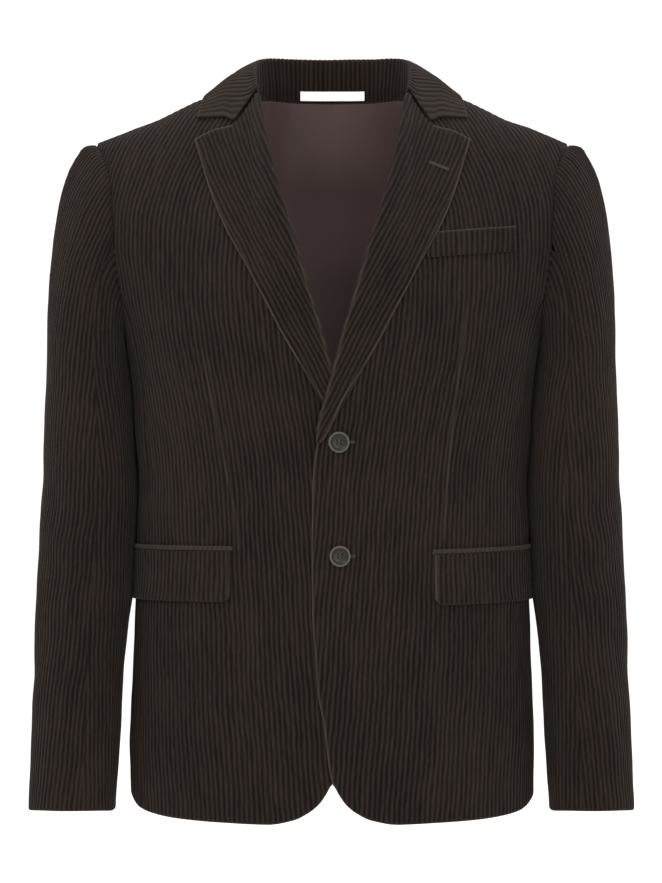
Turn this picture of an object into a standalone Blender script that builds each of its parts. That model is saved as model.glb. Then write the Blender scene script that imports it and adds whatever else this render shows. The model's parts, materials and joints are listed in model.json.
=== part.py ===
"""Two-button corduroy jacket with notch lapels, hanging as it does on a figure of size 50.

Every cloth piece is an open surface, cut from one body form or one sleeve form and given its
wall by Solidify. Sizes are in millimetres and are scaled to metres where a mesh is made.
The frame has +Z up and its origin between the shoulders at the height of the side neck. The
front faces -Y, and +X is the wearer's left. Shapes are written for the +X half and mirrored.
"""

import functools
import math

import bmesh
import bpy
import numpy as np
from mathutils import Vector

MM = 0.001
WALL = 2.0  # corduroy with its interlining
LINING_WALL = 1.0
LABEL_WALL = 0.6
SEAM = 0.35  # each piece stops this far short of its seam line
RIDGE_SEAM = 0.6  # the same on the shoulder seam, where the walls meet at an angle
LIE = 1.0  # air between a piece and the panel that it lies on
SQUARE = 2.35  # how square a body section is: 2 is an ellipse

BUTTON_PROFILE = (
    (0.0, 2.2), (6.4, 2.2), (7.4, 3.1), (8.7, 3.4), (9.7, 2.6), (10.0, 1.5), (9.0, 0.4), (7.0, 0.0),
    (0.0, 0.0),
)  # radius and height, from the middle of the face round to the middle of the back
BUTTON_HOLE_R = 1.0
BUTTON_HOLE_OFFSET = 2.1
BUTTONS = {"button_upper": (6.0, -336.5), "button_lower": (7.0, -442.5)}

# Body form by height: half width, depth before and behind the side line, and the side line's Y.
FORM = {
    "z": (-700, -630, -594, -523, -484, -439, -412, -373, -335,
          -296, -240, -215, -190, -150, -110, -60, 60),
    "half": (193, 193.5, 192, 189.7, 188.8, 188.5, 187.8, 185.6, 188,
             190.5, 199, 206, 216, 229, 235.5, 236, 236),
    "fore": (114, 115, 116, 115.5, 115, 114, 114, 115, 118, 121, 124.5, 125, 125, 122, 118, 114, 112),
    "aft": (121, 120, 119, 113, 108, 101, 98, 97, 101, 108, 117, 119, 120, 118, 112, 100, 92),
    "side": (4, 4, 4, 3, 2, 1, 0, 0, 1, 2, 3, 4, 5, 6, 7, 8, 8),
}
# Ridge of the shoulders by distance from the middle. Inside the neck it only shapes the nape.
RIDGE = {
    "x": (0, 20, 40, 62, 77, 95, 115, 128, 143, 167, 186, 205, 215, 228, 245),
    "z": (76, 75, 67, 34, 9, 3, -2.5, -6.5, -13.5, -26, -33, -40.5, -44.4, -50, -60),
}
FORE_RISE, FORE_ROUND = 235.0, 1.7  # drop from the ridge to full depth, and its roundness
AFT_RISE, AFT_ROUND = 190.0, 1.8
CROWN_ROUND, CROWN_FROM, CROWN_TO = 0.7, 120.0, 225.0  # rounder toward the shoulder point, by X

# Edge of a front: straight edge below the top button, rolled edge of the V above it.
EDGE = {
    "z": (-700, -655, -643, -623, -598, -576, -540, -494, -449, -380, -352, -335, -315, -296, -277,
          -265, -232, -195, -158, -120, -95, -72, -52, -31, -4, 2, 9),
    "x": (10, 0, -3, -5.5, -8.5, -13, -16, -19, -19.5, -19, -17, -14, -10, -5, 0.5,
          4, 12.5, 24, 34.5, 46.5, 53.5, 59.6, 64, 68, 72, 74.5, 77),
}
# Hem by angle from the front middle line (degrees).
HEM = {
    "at": (-8, 0, 1, 2.4, 5, 8, 15, 27.5, 45, 67, 90, 120, 180),
    "z": (-635, -655.5, -665, -674.3, -683, -688.5, -692.8, -691.8, -690, -685, -673, -672, -676),
}
NAPE = {"x": (0, 40, 62, 72, 76, 77), "z": (-2, -1.5, -1, 0, 4, 9)}  # back neck seam
LEVELS = (-620.0, -560.0, -500.0, -450.0, -410.0, -373.0, -330.0, -285.0)  # rows shared by all panels
CLIMB = 1.75  # how much closer the rows lie toward the shoulder
UPPER_ROWS = 7
FRONT_SEAM, BACK_SEAM = 69.0, 110.0  # seams of the side body, degrees from the front middle
NECK_X, NECK_SHARE = 77.0, 0.211

# Armhole seam by angle round the sleeve: 0 at the shoulder, 180 under the arm.
RING = {
    "at": (0, 20, 40, 60, 80, 100, 120, 140, 160, 180),
    "fore_z": (-50, -60, -76, -98, -127, -155, -181, -205, -227, -238),
    "fore_x": (228, 221, 215, 210.5, 208.2, 207.3, 203.8, 199.5, 199.4, 199.1),
    "aft_z": (-50, -60, -76, -98, -127, -155, -180, -203, -225, -238),
    "aft_x": (228, 222.5, 218, 214.5, 212, 210.5, 207.5, 203.5, 201, 199.1),
}
# Sleeve form by height: inner and outer side (X), front and back (Y).
SLEEVE = {
    "z": (-700, -683, -655, -610, -557, -490, -450, -412, -373, -335, -310, -257, -240),
    "inner": (207.5, 207.3, 205.5, 203, 200.5, 194.6, 192.8, 190.5, 188.2, 190.3, 192.3, 197.6, 199.5),
    "outer": (289, 288.6, 287.3, 286, 284.5, 282.5, 280.7, 279.3, 277.5, 276, 275, 273, 272.5),
    "front": (-76, -76, -75.5, -74.5, -72.5, -69.5, -68, -67, -66, -66, -66, -66, -65),
    "back": (23, 24, 27, 32, 38.5, 48, 55, 61, 66, 70, 72, 75, 76),
}
SLEEVE_LEVELS = (-683.5, -625.0, -565.0, -505.0, -450.0, -405.0, -365.0, -315.0, -257.0)
INNER_SQUARE, OUTER_SQUARE = 2.8, 2.15
SLEEVE_LEAN = {1: -1.3, -1: 1.2}  # the outer sides are not quite alike
CUFF_DIP = 3.0  # how much lower the cuff is at its two pressed sides
TUCK = {"at": 204, "spread": 17, "deep": 3.0, "z": (-500, -455, -300, -245)}  # against the back
TOP_SLEEVE = (-125, -117, -98, -78, -58, -37, -15, 10, 36, 60, 80, 93, 100)  # column angles
UNDER_SLEEVE = (100, 107, 122, 142, 163, 184, 205, 222, 230, 235)
# Soft folds at the elbow and forearm: height at the outer side, its slope, place, size.
FOLDS = (
    {"z": -372, "slope": -30, "at": 60, "spread": 55, "high": 20, "deep": 2.6},
    {"z": -432, "slope": -26, "at": 70, "spread": 50, "high": 18, "deep": 2.2},
    {"z": -560, "slope": 34, "at": 35, "spread": 55, "high": 20, "deep": 2.0},
)

# Collar by station, from the middle of the nape to the end at the lapel.
COLLAR = {
    "at": (0.0, 0.25, 0.5, 0.7, 0.85, 1.0),
    "neck": ((0, 82, -1), (34.5, 78.9, -0.5), (58.9, 61.8, 0), (72.6, 39, 2.6), (75.2, 17, 10.2),
             (71.3, -20, -2)),
    "fold": ((0, 76, 40), (36, 73.5, 40), (64, 58, 39), (75.5, 38, 33.5), (77, 12, 25), (73, -24, 3)),
    "leaf": ((0, 91.5, -12), (44, 86, -12), (85, 51, -12), (109, 31.5, -2.5), (122.5, 8, -1),
             (131, -29, -23)),
}
GORGE = {"x": (72, 95, 114.5, 131), "z": (-4, -36.2, -41.3, -50)}  # lapel's top: seam, notch, tip
GORGE_X, GORGE_Z = 95.0, -33.5
LEAF_CORNER = (129.5, -31.0)
LAPEL = {
    "z": (-341, -332, -322, -297, -279, -245, -184, -133, -112, -51, -4),
    "x": (-13.6, -6.5, -1, 10, 21.5, 42, 74, 102, 111, 131, 147),
}
LAPEL_FOOT = -337.0

FLAP = {"front": 95.0, "length_to": 88.0, "top": -438.2, "foot": -485.5, "round": 7.0}
JET = {"front": 92.5, "length_to": 88.0, "low": -437.6, "high": -433.2}
POCKET_TILT = {1: 3.2, -1: 0.0}  # how much lower the front end of each pocket sits
WELT = {"x1": 172.0, "z0": -140.0, "z1": -133.5, "high": 24.0}
LABEL = {"half": 31.5, "low": -0.4, "high": 8.6}
LINING_FOOT = -655.0

COLOURS = {
    "corduroy": ((0.021, 0.016, 0.0135, 1.0), 0.9),
    "lining": ((0.075, 0.045, 0.045, 1.0), 0.5),
    "label": ((0.62, 0.62, 0.62, 1.0), 0.7),
    "button": ((0.16, 0.145, 0.11, 1.0), 0.28),
}


def track(table, key, column, at):
    """A column of a table at the given places, by a monotone cubic through its rows."""
    x, y = np.array(table[key], float), np.array(table[column], float)
    step = np.diff(x)
    rise = np.diff(y) / step
    slope = np.zeros_like(y)
    slope[0], slope[-1] = rise[0], rise[-1]
    near, far = 2 * step[1:] + step[:-1], step[1:] + 2 * step[:-1]
    same = rise[1:] * rise[:-1] > 0
    before, after = np.where(same, rise[:-1], 1.0), np.where(same, rise[1:], 1.0)
    slope[1:-1] = np.where(same, (near + far) / (near / before + far / after), 0.0)
    at = np.clip(at, x[0], x[-1])
    i = np.clip(np.searchsorted(x, at) - 1, 0, len(x) - 2)
    t = (at - x[i]) / step[i]
    return (
        (1 + 2 * t) * (1 - t) ** 2 * y[i]
        + t * (1 - t) ** 2 * step[i] * slope[i]
        + t * t * (3 - 2 * t) * y[i + 1]
        + t * t * (t - 1) * step[i] * slope[i + 1]
    )


def smooth(low, high, at):
    """0 below low, 1 above high, and smooth between."""
    t = np.clip((np.asarray(at, float) - low) / (high - low), 0, 1)
    return t * t * (3 - 2 * t)


def body(angle, z):
    """The body form at an angle from the front middle line, in radians, and a height."""
    angle, z = np.broadcast_arrays(np.asarray(angle, float), np.asarray(z, float))
    half, side = track(FORM, "z", "half", z), track(FORM, "z", "side", z)
    x = half * np.sign(np.sin(angle)) * np.abs(np.sin(angle)) ** (2 / SQUARE)
    level = np.abs(np.cos(angle)) ** (2 / SQUARE)
    ahead = np.cos(angle) > 0
    y = np.where(ahead, side - track(FORM, "z", "fore", z) * level, side + track(FORM, "z", "aft", z) * level)
    drop = np.clip(track(RIDGE, "x", "z", np.abs(x)) - z, 0, None)
    ridge_y = ridge_line(x)
    more = CROWN_ROUND * smooth(CROWN_FROM, CROWN_TO, np.abs(x))
    fore = (1 - (1 - np.clip(drop / FORE_RISE, 0, 1)) ** (FORE_ROUND + more)) ** (1 / (FORE_ROUND + more))
    aft = (1 - (1 - np.clip(drop / AFT_RISE, 0, 1)) ** (AFT_ROUND + more)) ** (1 / (AFT_ROUND + more))
    y = ridge_y + (y - ridge_y) * np.where(ahead, fore, aft)
    return np.stack([x, y, z], axis=-1)


def ridge_line(x):
    return 20.0 - 0.053 * np.abs(x)


def angle_at(x, z, back=False):
    """The angle whose point at this height lies this far from the middle."""
    share = np.clip(np.abs(x) / track(FORM, "z", "half", z), 0, 1)
    angle = np.arcsin(share ** (SQUARE / 2)) * np.sign(x)
    return math.pi - angle if back else angle


def push(x, z):
    """How far the under front lies behind the form, where the other front covers it."""
    deep = 3.4 + 2.8 * smooth(-375, -345, z) * (1 - smooth(-262, -228, z))
    fade = 1 - 0.6 * smooth(-235, -180, z)
    return deep * fade * (1 - smooth(12, 48, x))


def lifted(x, z, out, back=False, under=False):
    """Points of the body form by X and height, moved out along its normal."""
    def at(x, z):
        points = body(angle_at(x, z, back), z)
        if under:
            points[..., 1] += push(x, z)
        return points

    x, z = np.broadcast_arrays(np.asarray(x, float), np.asarray(z, float))
    along, up = at(x + 0.5, z) - at(x - 0.5, z), at(x, z + 0.5) - at(x, z - 0.5)
    normal = np.cross(along, up) * (-1 if back else 1)
    normal /= np.linalg.norm(normal, axis=-1, keepdims=True)
    return at(x, z) + normal * np.asarray(out)[..., None]


def ring(angle):
    """The armhole seam, by degrees round the sleeve: in front above 0, behind below 0 and at -0."""
    points = []
    for where in np.atleast_1d(angle):
        end = "aft" if np.signbit(where) else "fore"
        z = np.array(RING[end + "_z"], float)
        turn = np.degrees(angle_at(np.array(RING[end + "_x"], float), z, end == "aft"))
        turn[-1] = 90.0
        knots = {"at": RING["at"], "z": z, "turn": turn}
        height = track(knots, "at", "z", abs(where))
        points.append((math.radians(track(knots, "at", "turn", abs(where))), float(height)))
    return np.array(points)


@functools.cache
def ring_table(end):
    """The armhole seam of one side as a table of body angle by height, bottom to top."""
    turns = np.linspace(180, 0, 37) * (1 if end == "fore" else -1)
    points = ring(turns)
    return {"z": points[:, 1], "turn": points[:, 0]}


def outer_bound(z, end):
    """Body angle where a front or back panel ends: its side seam, then the armhole."""
    table = ring_table(end)
    seam = math.radians(FRONT_SEAM if end == "fore" else BACK_SEAM)
    turn = track(table, "z", "turn", z)
    meets = meeting_height(end)
    return np.where(z < meets, seam, turn)


@functools.cache
def meeting_height(end):
    """Where a side seam runs into the armhole."""
    table = ring_table(end)
    seam = math.radians(FRONT_SEAM if end == "fore" else BACK_SEAM)
    beyond = table["turn"] > seam if end == "fore" else table["turn"] < seam
    last = int(np.argmin(beyond)) - 1
    low, high = table["z"][last], table["z"][last + 1]
    share = (seam - table["turn"][last]) / (table["turn"][last + 1] - table["turn"][last])
    return float(low + (high - low) * share)


def hem_height(angle):
    return track(HEM, "at", "z", np.degrees(angle))


def level(height, low, high):
    """The height at which a line of the given heights is met, by halving."""
    for _ in range(40):
        middle = (low + high) / 2
        low, high = (middle, high) if height(middle) > middle else (low, middle)
    return (low + high) / 2


def panel(shares, inner, outer, top, levels=LEVELS, upper_rows=UPPER_ROWS):
    """Columns from the hem to a top line, between two bounds of body angle: angle and height."""
    lift = 1 - (1 - np.arange(1, upper_rows) / upper_rows) ** CLIMB
    grid = np.zeros((len(levels) + upper_rows + 2, len(shares), 2))
    for column, share in enumerate(shares):
        def turn(z, share=share):
            return inner(z) * (1 - share) + outer(z) * share

        foot = level(lambda z: hem_height(turn(z)), -700.0, LEVELS[0])
        head = level(lambda z: top(turn(z)), -90.0, 12.0)
        upper = levels[-1] + (head - levels[-1]) * lift
        z = np.array([foot, *levels, *upper, head - 1.2, head])
        grid[:, column, 0] = turn(z)
        grid[:, column, 1] = z
    return grid


def front_grid(shares):
    def inner(z):
        return angle_at(track(EDGE, "z", "x", z), z)

    def top(turn):
        return track(RIDGE, "x", "z", np.maximum(abs(body(turn, -40.0)[..., 0]), NECK_X))

    return panel(shares, inner, lambda z: outer_bound(z, "fore"), top)


def back_top(turn):
    x = abs(body(turn, -40.0)[..., 0])
    over = track(RIDGE, "x", "z", np.maximum(x, NECK_X))
    return np.where(x < NECK_X, track(NAPE, "x", "z", x), over)


def back_grid(shares):
    return panel(shares, lambda z: math.pi + 0 * z, lambda z: outer_bound(z, "aft"), back_top)


def lining_grid(shares):
    """The back lining: the back without its hem and its shoulder seam, with the same rows."""
    def top(turn):
        return back_top(turn) - 5 * smooth(60, 84, abs(body(turn, -40.0)[..., 0])) - 0.6

    grid = panel(shares, lambda z: math.pi + 0 * z, lambda z: outer_bound(z, "aft"), top)
    grid[0, :, 1] = LINING_FOOT
    return np.delete(grid, -2, axis=0)


def side_grid(columns):
    """The side body, between its two seams, under the armhole."""
    turns = np.radians(np.linspace(FRONT_SEAM, BACK_SEAM, columns))
    first = LEVELS[-1] + (-50.0 - LEVELS[-1]) * (1 - (1 - 1 / UPPER_ROWS) ** CLIMB)
    grid = np.zeros((len(LEVELS) + 3, columns, 2))
    heads = []
    for turn in turns:
        table = ring_table("fore" if turn < math.pi / 2 else "aft")
        lower = slice(0, 1 + int(np.argmax(np.abs(table["turn"] - math.pi / 2))))
        order = np.argsort(table["turn"][lower])
        heads.append(float(np.interp(turn, table["turn"][lower][order], table["z"][lower][order])))
    fore_share = (first - LEVELS[-1]) / (heads[0] - LEVELS[-1])
    aft_share = (first - LEVELS[-1]) / (heads[-1] - LEVELS[-1])
    for column, (turn, head) in enumerate(zip(turns, heads, strict=True)):
        share = fore_share + (aft_share - fore_share) * column / (columns - 1)
        middle = LEVELS[-1] + (head - LEVELS[-1]) * share
        grid[:, column, 0] = turn
        grid[:, column, 1] = [float(hem_height(turn)), *LEVELS, middle, head]
    return grid


def trimmed(points, gap=SEAM):
    """Moves the four edges of a grid of points in from their seams."""
    points = points.copy()
    for axis in (0, 1):
        grid = np.moveaxis(points, axis, 0)
        for edge, inward in ((0, 1), (-1, -2)):
            way = grid[inward] - grid[edge]
            length = np.linalg.norm(way, axis=-1, keepdims=True)
            grid[edge] += way * np.minimum(gap / np.maximum(length, 1e-6), 0.4)
    return points


def sleeve_section(angle, z, side):
    """The sleeve form below the armhole, by degrees from its outer side and height."""
    turn = np.radians(angle)
    inner, outer = track(SLEEVE, "z", "inner", z), track(SLEEVE, "z", "outer", z) + SLEEVE_LEAN[side]
    front, back = track(SLEEVE, "z", "front", z), track(SLEEVE, "z", "back", z)
    square = np.where(np.cos(turn) < 0, INNER_SQUARE, OUTER_SQUARE)
    across = np.sign(np.cos(turn)) * np.abs(np.cos(turn)) ** (2 / square)
    fore = np.sign(np.sin(turn)) * np.abs(np.sin(turn)) ** (2 / square)
    dent = np.zeros(np.broadcast(turn, z).shape)
    for fold in FOLDS:
        line = z - fold["z"] - fold["slope"] * turn
        away = (np.degrees(turn) - fold["at"]) / fold["spread"]
        dent = dent + fold["deep"] * np.exp(-((line / fold["high"]) ** 2) - away**2)
    low, full, still, high = TUCK["z"]
    tuck = TUCK["deep"] * smooth(low, full, z) * (1 - smooth(still, high, z))
    tuck = tuck * np.exp(-(((np.degrees(turn) - TUCK["at"]) / TUCK["spread"]) ** 2))
    x = (inner + outer) / 2 + ((outer - inner) / 2 - dent) * across - tuck
    y = (front + back) / 2 - ((back - front) / 2 - dent) * fore
    lower = CUFF_DIP * (1 - smooth(-684, -640, z)) * np.abs(np.cos(turn)) ** 4
    return np.stack(np.broadcast_arrays(x, y, z - lower), axis=-1)


def sleeve_grid(angles, cap_rows, side):
    """Sleeve columns from the cuff up the tube, then over the cap to the armhole."""
    angles = np.array(angles, float)
    tube = [sleeve_section(angles, z + 0 * angles, side) for z in SLEEVE_LEVELS]
    seam = ring(np.where(angles > 180, angles - 360, angles))
    start = body(seam[:, 0], seam[:, 1])
    turn = np.radians(angles)
    crown = np.clip(np.cos(turn), 0, 1)
    fall = -0.62 + 0.38 * np.cos(turn) + 0.18 * crown**4
    out = np.stack([0.62 + 0.38 * np.cos(turn), -0.5 * np.sin(turn), fall], axis=-1)
    start = start + out * 0.6 + np.array([0.2, 0, 1.5]) * crown[:, None] ** 4
    end = tube[-1]
    reach = np.linalg.norm(end - start, axis=-1)
    first_pull = start + out * (reach * (0.35 - 0.17 * crown))[:, None]
    last_pull = end + np.array([0, 0, 1.0]) * (reach * (0.35 + 0.1 * crown))[:, None]
    rows = list(tube)
    for t in np.linspace(1, 0, cap_rows + 1)[1:] ** 1.25:
        rows.append(
            (1 - t) ** 3 * start + 3 * t * (1 - t) ** 2 * first_pull
            + 3 * t * t * (1 - t) * last_pull + t**3 * end
        )
    return np.array(rows)


def bend(start, leave, arrive, end, count):
    """A cubic curve as count points, without its first."""
    t = np.linspace(0, 1, count + 1)[1:, None]
    return (1 - t) ** 3 * start + 3 * t * (1 - t) ** 2 * leave + 3 * t * t * (1 - t) * arrive + t**3 * end


def along_collar(row, at):
    """One line of the collar at the given stations, from its table, smoothly."""
    knots = np.array(COLLAR[row], float)
    mirrored = knots[1:][::-1] * np.array([-1, 1, 1])
    stations = np.concatenate([-np.array(COLLAR["at"][1:])[::-1], COLLAR["at"]])
    points = np.concatenate([mirrored, knots])
    slopes = np.gradient(points, stations, axis=0)
    i = np.clip(np.searchsorted(stations, at) - 1, 0, len(stations) - 2)
    h = (stations[i + 1] - stations[i])[:, None]
    t = ((at - stations[i]) / h[:, 0])[:, None]
    return (
        (1 + 2 * t) * (1 - t) ** 2 * points[i] + t * (1 - t) ** 2 * h * slopes[i]
        + t * t * (3 - 2 * t) * points[i + 1] + t * t * (t - 1) * h * slopes[i + 1]
    )


def collar_grid(stations):
    """Stand, fold and leaf: neck seam, up the inner side, over the fold, down to the leaf edge."""
    neck, fold, leaf = (along_collar(row, stations) for row in ("neck", "fold", "leaf"))
    columns = []
    for place, root, crest, edge in zip(stations, neck, fold, leaf, strict=True):
        away = np.array([crest[0], crest[1] - 8.0, 0.0])
        away /= np.linalg.norm(away)
        round_r = 3.2 - 1.2 * smooth(0.8, 1.0, abs(place))
        inner = crest - away * round_r
        stand = bend(root, root + (inner - root) * 0.5, inner - np.array([0, 0, 6.0 * round_r / 3.2]),
                     inner - np.array([0, 0, round_r]), 2)
        over = bend(stand[-1], inner, crest - away * round_r * 0.5, crest, 2)
        reach = edge - crest
        fall = bend(crest, crest + away * round_r, crest + away * round_r * 2 + reach * 0.12,
                    crest + reach * 0.3 + away * 6.0, 2)
        leaf_part = bend(fall[-1], fall[-1] + reach * 0.2 + away * 0.8,
                         edge - reach * 0.22 + away * 1.0, edge, 3)
        columns.append(np.concatenate([[root], stand, over, fall, leaf_part]))
    return np.array(columns)


def lapel_grid(rows, shares, under):
    """A facing turned out at the roll line, from its foot up to the gorge, notch and tip."""
    grid = np.zeros((rows, len(shares) + 3, 3))
    lift = np.linspace(0, 1, rows)
    heads = []
    for share in shares:
        z = -20.0
        for _ in range(40):
            x = track(EDGE, "z", "x", z) * (1 - share) + track(LAPEL, "z", "x", z) * share
            z = 0.5 * z + 0.5 * float(track(GORGE, "x", "z", x))
        heads.append(z)
    for column, (share, head) in enumerate(zip(shares, heads, strict=True)):
        z = LAPEL_FOOT + (head - LAPEL_FOOT) * lift
        x = track(EDGE, "z", "x", z) * (1 - share) + track(LAPEL, "z", "x", z) * share
        out = WALL + LIE + 0.2 + 0.7 * (1 - share) ** 2
        grid[:, column + 3] = lifted(x, z, out + 0 * z, under=under)
    edge = grid[:, 3]
    z = edge[:, 2]
    x = track(EDGE, "z", "x", LAPEL_FOOT + (heads[0] - LAPEL_FOOT) * lift)
    base = lifted(x, LAPEL_FOOT + (heads[0] - LAPEL_FOOT) * lift, 0 * z, under=under)
    normal = edge - base
    normal /= np.linalg.norm(normal, axis=-1, keepdims=True)
    along = np.gradient(base, axis=0)
    past = np.cross(along, normal)
    past /= np.linalg.norm(past, axis=-1, keepdims=True)
    past *= np.where(past[:, :1] > 0, -1, 1)
    for column, (out, far) in enumerate(((-1.4, 2.6), (0.6, 3.0), (2.6, 1.8))):
        grid[:, column] = base + normal * out + past * far
    return grid


def flap_grid(side, columns, rows):
    """A pocket flap with a rounded front lower corner, hanging from its jet."""
    x0 = FLAP["front"]
    turns = np.linspace(float(angle_at(x0, -460.0)), math.radians(FLAP["length_to"]), columns)
    grid = np.zeros((rows, columns, 3))
    for column, turn in enumerate(turns):
        share = 1 - (turn - turns[0]) / (turns[-1] - turns[0])
        x = body(turn, -460.0)[0]
        near = max(0.0, FLAP["round"] - (x - x0))
        lift = FLAP["round"] - math.sqrt(max(FLAP["round"] ** 2 - near**2, 0.0))
        top = FLAP["top"] - POCKET_TILT[side] * share
        foot = FLAP["foot"] - POCKET_TILT[side] * share + lift
        z = np.linspace(foot, top, rows)
        grid[:, column] = raised(turn, z, WALL + LIE)
    return grid


def raised(turn, z, out):
    """Points of the body form by angle and height, moved out along its normal."""
    turn, z = np.broadcast_arrays(np.asarray(turn, float), np.asarray(z, float))
    along = body(turn + 0.004, z) - body(turn - 0.004, z)
    up = body(turn, z + 0.5) - body(turn, z - 0.5)
    normal = np.cross(along, up)
    normal /= np.linalg.norm(normal, axis=-1, keepdims=True)
    return body(turn, z) + normal * out


def strip_grid(side, columns):
    """A jet: a narrow strip over the flap."""
    turns = np.linspace(float(angle_at(JET["front"], -436.0)), math.radians(JET["length_to"]), columns)
    share = 1 - (turns - turns[0]) / (turns[-1] - turns[0])
    rows = []
    for z in np.linspace(JET["low"], JET["high"], 3):
        rows.append(raised(turns, z - POCKET_TILT[side] * share, WALL + LIE))
    return np.array(rows)


def welt_grid(columns, rows):
    """The chest welt, from the edge of the lapel outward."""
    grid = np.zeros((rows, columns, 3))
    for row, lift in enumerate(np.linspace(0, 1, rows)):
        low = WELT["z0"] - WELT["high"] * (1 - lift)
        start = float(track(LAPEL, "z", "x", low)) + 1.0
        xs = np.linspace(start, WELT["x1"], columns)
        zs = low + (WELT["z1"] - WELT["z0"]) * (xs - start) / (WELT["x1"] - start)
        grid[row] = lifted(xs, zs, WALL + LIE + 0 * zs)
    return grid


def label_grid(columns, rows):
    """The label, on the inner face of the stand at the nape."""
    xs = np.linspace(-LABEL["half"], LABEL["half"], columns)
    stations = np.linspace(-0.5, 0.5, 41)
    grid = collar_grid(stations)[:, :4]
    points = []
    for z in np.linspace(LABEL["low"], LABEL["high"], rows):
        line = []
        for column in grid:
            line.append([np.interp(z, column[:, 2], column[:, 0]), np.interp(z, column[:, 2], column[:, 1])])
        line = np.array(line)
        y = np.interp(xs, line[:, 0], line[:, 1])
        points.append(np.stack([xs, y - LIE - LABEL_WALL, z + 0 * xs], axis=-1))
    return np.array(points)


def new_material(name):
    colour, rough = COLOURS[name]
    material = bpy.data.materials.new(name)
    material.use_nodes = True
    material.diffuse_color = colour
    shader = material.node_tree.nodes["Principled BSDF"]
    shader.inputs["Base Color"].default_value = colour
    shader.inputs["Roughness"].default_value = rough
    return material


def link(obj, root, home):
    home.objects.link(obj)
    obj.parent = root
    return obj


def cloth(name, points, wall, material, root, home, flip=False):
    """An open grid of points as a smooth sheet, with its wall on its inner side."""
    rows, columns = points.shape[:2]
    shape = bmesh.new()
    verts = [shape.verts.new(Vector(point) * MM) for point in points.reshape(-1, 3)]
    for row in range(rows - 1):
        for column in range(columns - 1):
            at = row * columns + column
            corners = [at, at + 1, at + columns + 1, at + columns]
            if flip:
                corners.reverse()
            shape.faces.new([verts[corner] for corner in corners])
    mesh = bpy.data.meshes.new(name)
    shape.to_mesh(mesh)
    shape.free()
    mesh.shade_smooth()
    mesh.materials.append(new_material(material))
    obj = link(bpy.data.objects.new(name, mesh), root, home)
    solid = obj.modifiers.new("wall", "SOLIDIFY")
    solid.thickness = wall * MM
    solid.offset = -1
    solid.use_rim = True
    return obj


def mirrored(points):
    return points * np.array([-1, 1, 1])


def make_fronts(root, home):
    shares = [0, 0.03, 0.08, 0.15, 0.24, 0.35, 0.47, 0.6, 0.72, 0.84, 0.92, 1]
    grid = front_grid(shares)
    points = body(grid[..., 0], grid[..., 1])
    points[-1, :, 1] -= RIDGE_SEAM
    cloth("front_left", trimmed(points), WALL, "corduroy", root, home)
    behind = points.copy()
    behind[..., 1] += push(points[..., 0], points[..., 2])
    cloth("front_right", trimmed(mirrored(behind)), WALL, "corduroy", root, home, flip=True)


def make_backs(root, home):
    shares = [0, 0.08, 0.15, NECK_SHARE, 0.28, 0.4, 0.54, 0.68, 0.8, 0.91, 1]
    grid = back_grid(shares)
    points = body(grid[..., 0], grid[..., 1])
    points[-1, shares.index(NECK_SHARE) :, 1] += RIDGE_SEAM
    cloth("back_left", trimmed(points), WALL, "corduroy", root, home, flip=True)
    cloth("back_right", trimmed(mirrored(points)), WALL, "corduroy", root, home)
    inner = lining_grid([0, 0.08, 0.15, NECK_SHARE, 0.28, 0.4, 0.54, 0.68, 0.8, 0.96])
    points = raised(inner[..., 0], inner[..., 1], -(WALL + 2.2))
    cloth("lining_left", trimmed(points), LINING_WALL, "lining", root, home, flip=True)
    cloth("lining_right", trimmed(mirrored(points)), LINING_WALL, "lining", root, home)


def make_sides(root, home):
    grid = side_grid(6)
    points = trimmed(body(grid[..., 0], grid[..., 1]))
    cloth("side_left", points, WALL, "corduroy", root, home)
    cloth("side_right", mirrored(points), WALL, "corduroy", root, home, flip=True)


def make_sleeves(root, home):
    for side, name in ((1, "left"), (-1, "right")):
        for piece, angles in (("top", TOP_SLEEVE), ("under", UNDER_SLEEVE)):
            points = trimmed(sleeve_grid(angles, 5, side)) * np.array([side, 1, 1])
            cloth(f"sleeve_{piece}_{name}", points, WALL, "corduroy", root, home, flip=side > 0)


def make_collar(root, home):
    stations = np.linspace(-1, 1, 21)
    grid = collar_grid(stations)
    for end, side in ((0, -1), (-1, 1)):
        crest, edge = 4, grid.shape[1] - 1
        gorge = lifted(GORGE_X, GORGE_Z, np.array(WALL + LIE + 0.4)) * np.array([side, 1, 1])
        corner = lifted(LEAF_CORNER[0], LEAF_CORNER[1], np.array(WALL + LIE)) * np.array([side, 1, 1])
        start = grid[end, crest].copy()
        for step in range(crest + 1, edge + 1):
            share = (step - crest) / (edge - crest)
            first, second = min(share / 0.43, 1.0), max((share - 0.43) / 0.57, 0.0)
            past = gorge + (corner - gorge) * second
            grid[end, step] = start + (gorge - start) * first if share < 0.43 else past
    cloth("collar", trimmed(grid, 0.2), WALL, "corduroy", root, home, flip=True)


def make_lapels(root, home):
    shares = [0.02, 0.15, 0.41, 0.7, 1]
    over = lapel_grid(12, shares, False)
    under = lapel_grid(12, shares, True)
    cloth("lapel_left", trimmed(over, 0.2), WALL, "corduroy", root, home)
    cloth("lapel_right", trimmed(mirrored(under), 0.2), WALL, "corduroy", root, home, flip=True)


def make_pockets(root, home):
    for side, name in ((1, "left"), (-1, "right")):
        flap, strip = flap_grid(side, 10, 3), strip_grid(side, 8)
        if side < 0:
            flap, strip = mirrored(flap), mirrored(strip)
        cloth(f"flap_{name}", flap, WALL, "corduroy", root, home, flip=side < 0)
        cloth(f"jet_{name}", strip, WALL, "corduroy", root, home, flip=side < 0)
    cloth("chest_welt", welt_grid(7, 3), WALL, "corduroy", root, home)


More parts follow.
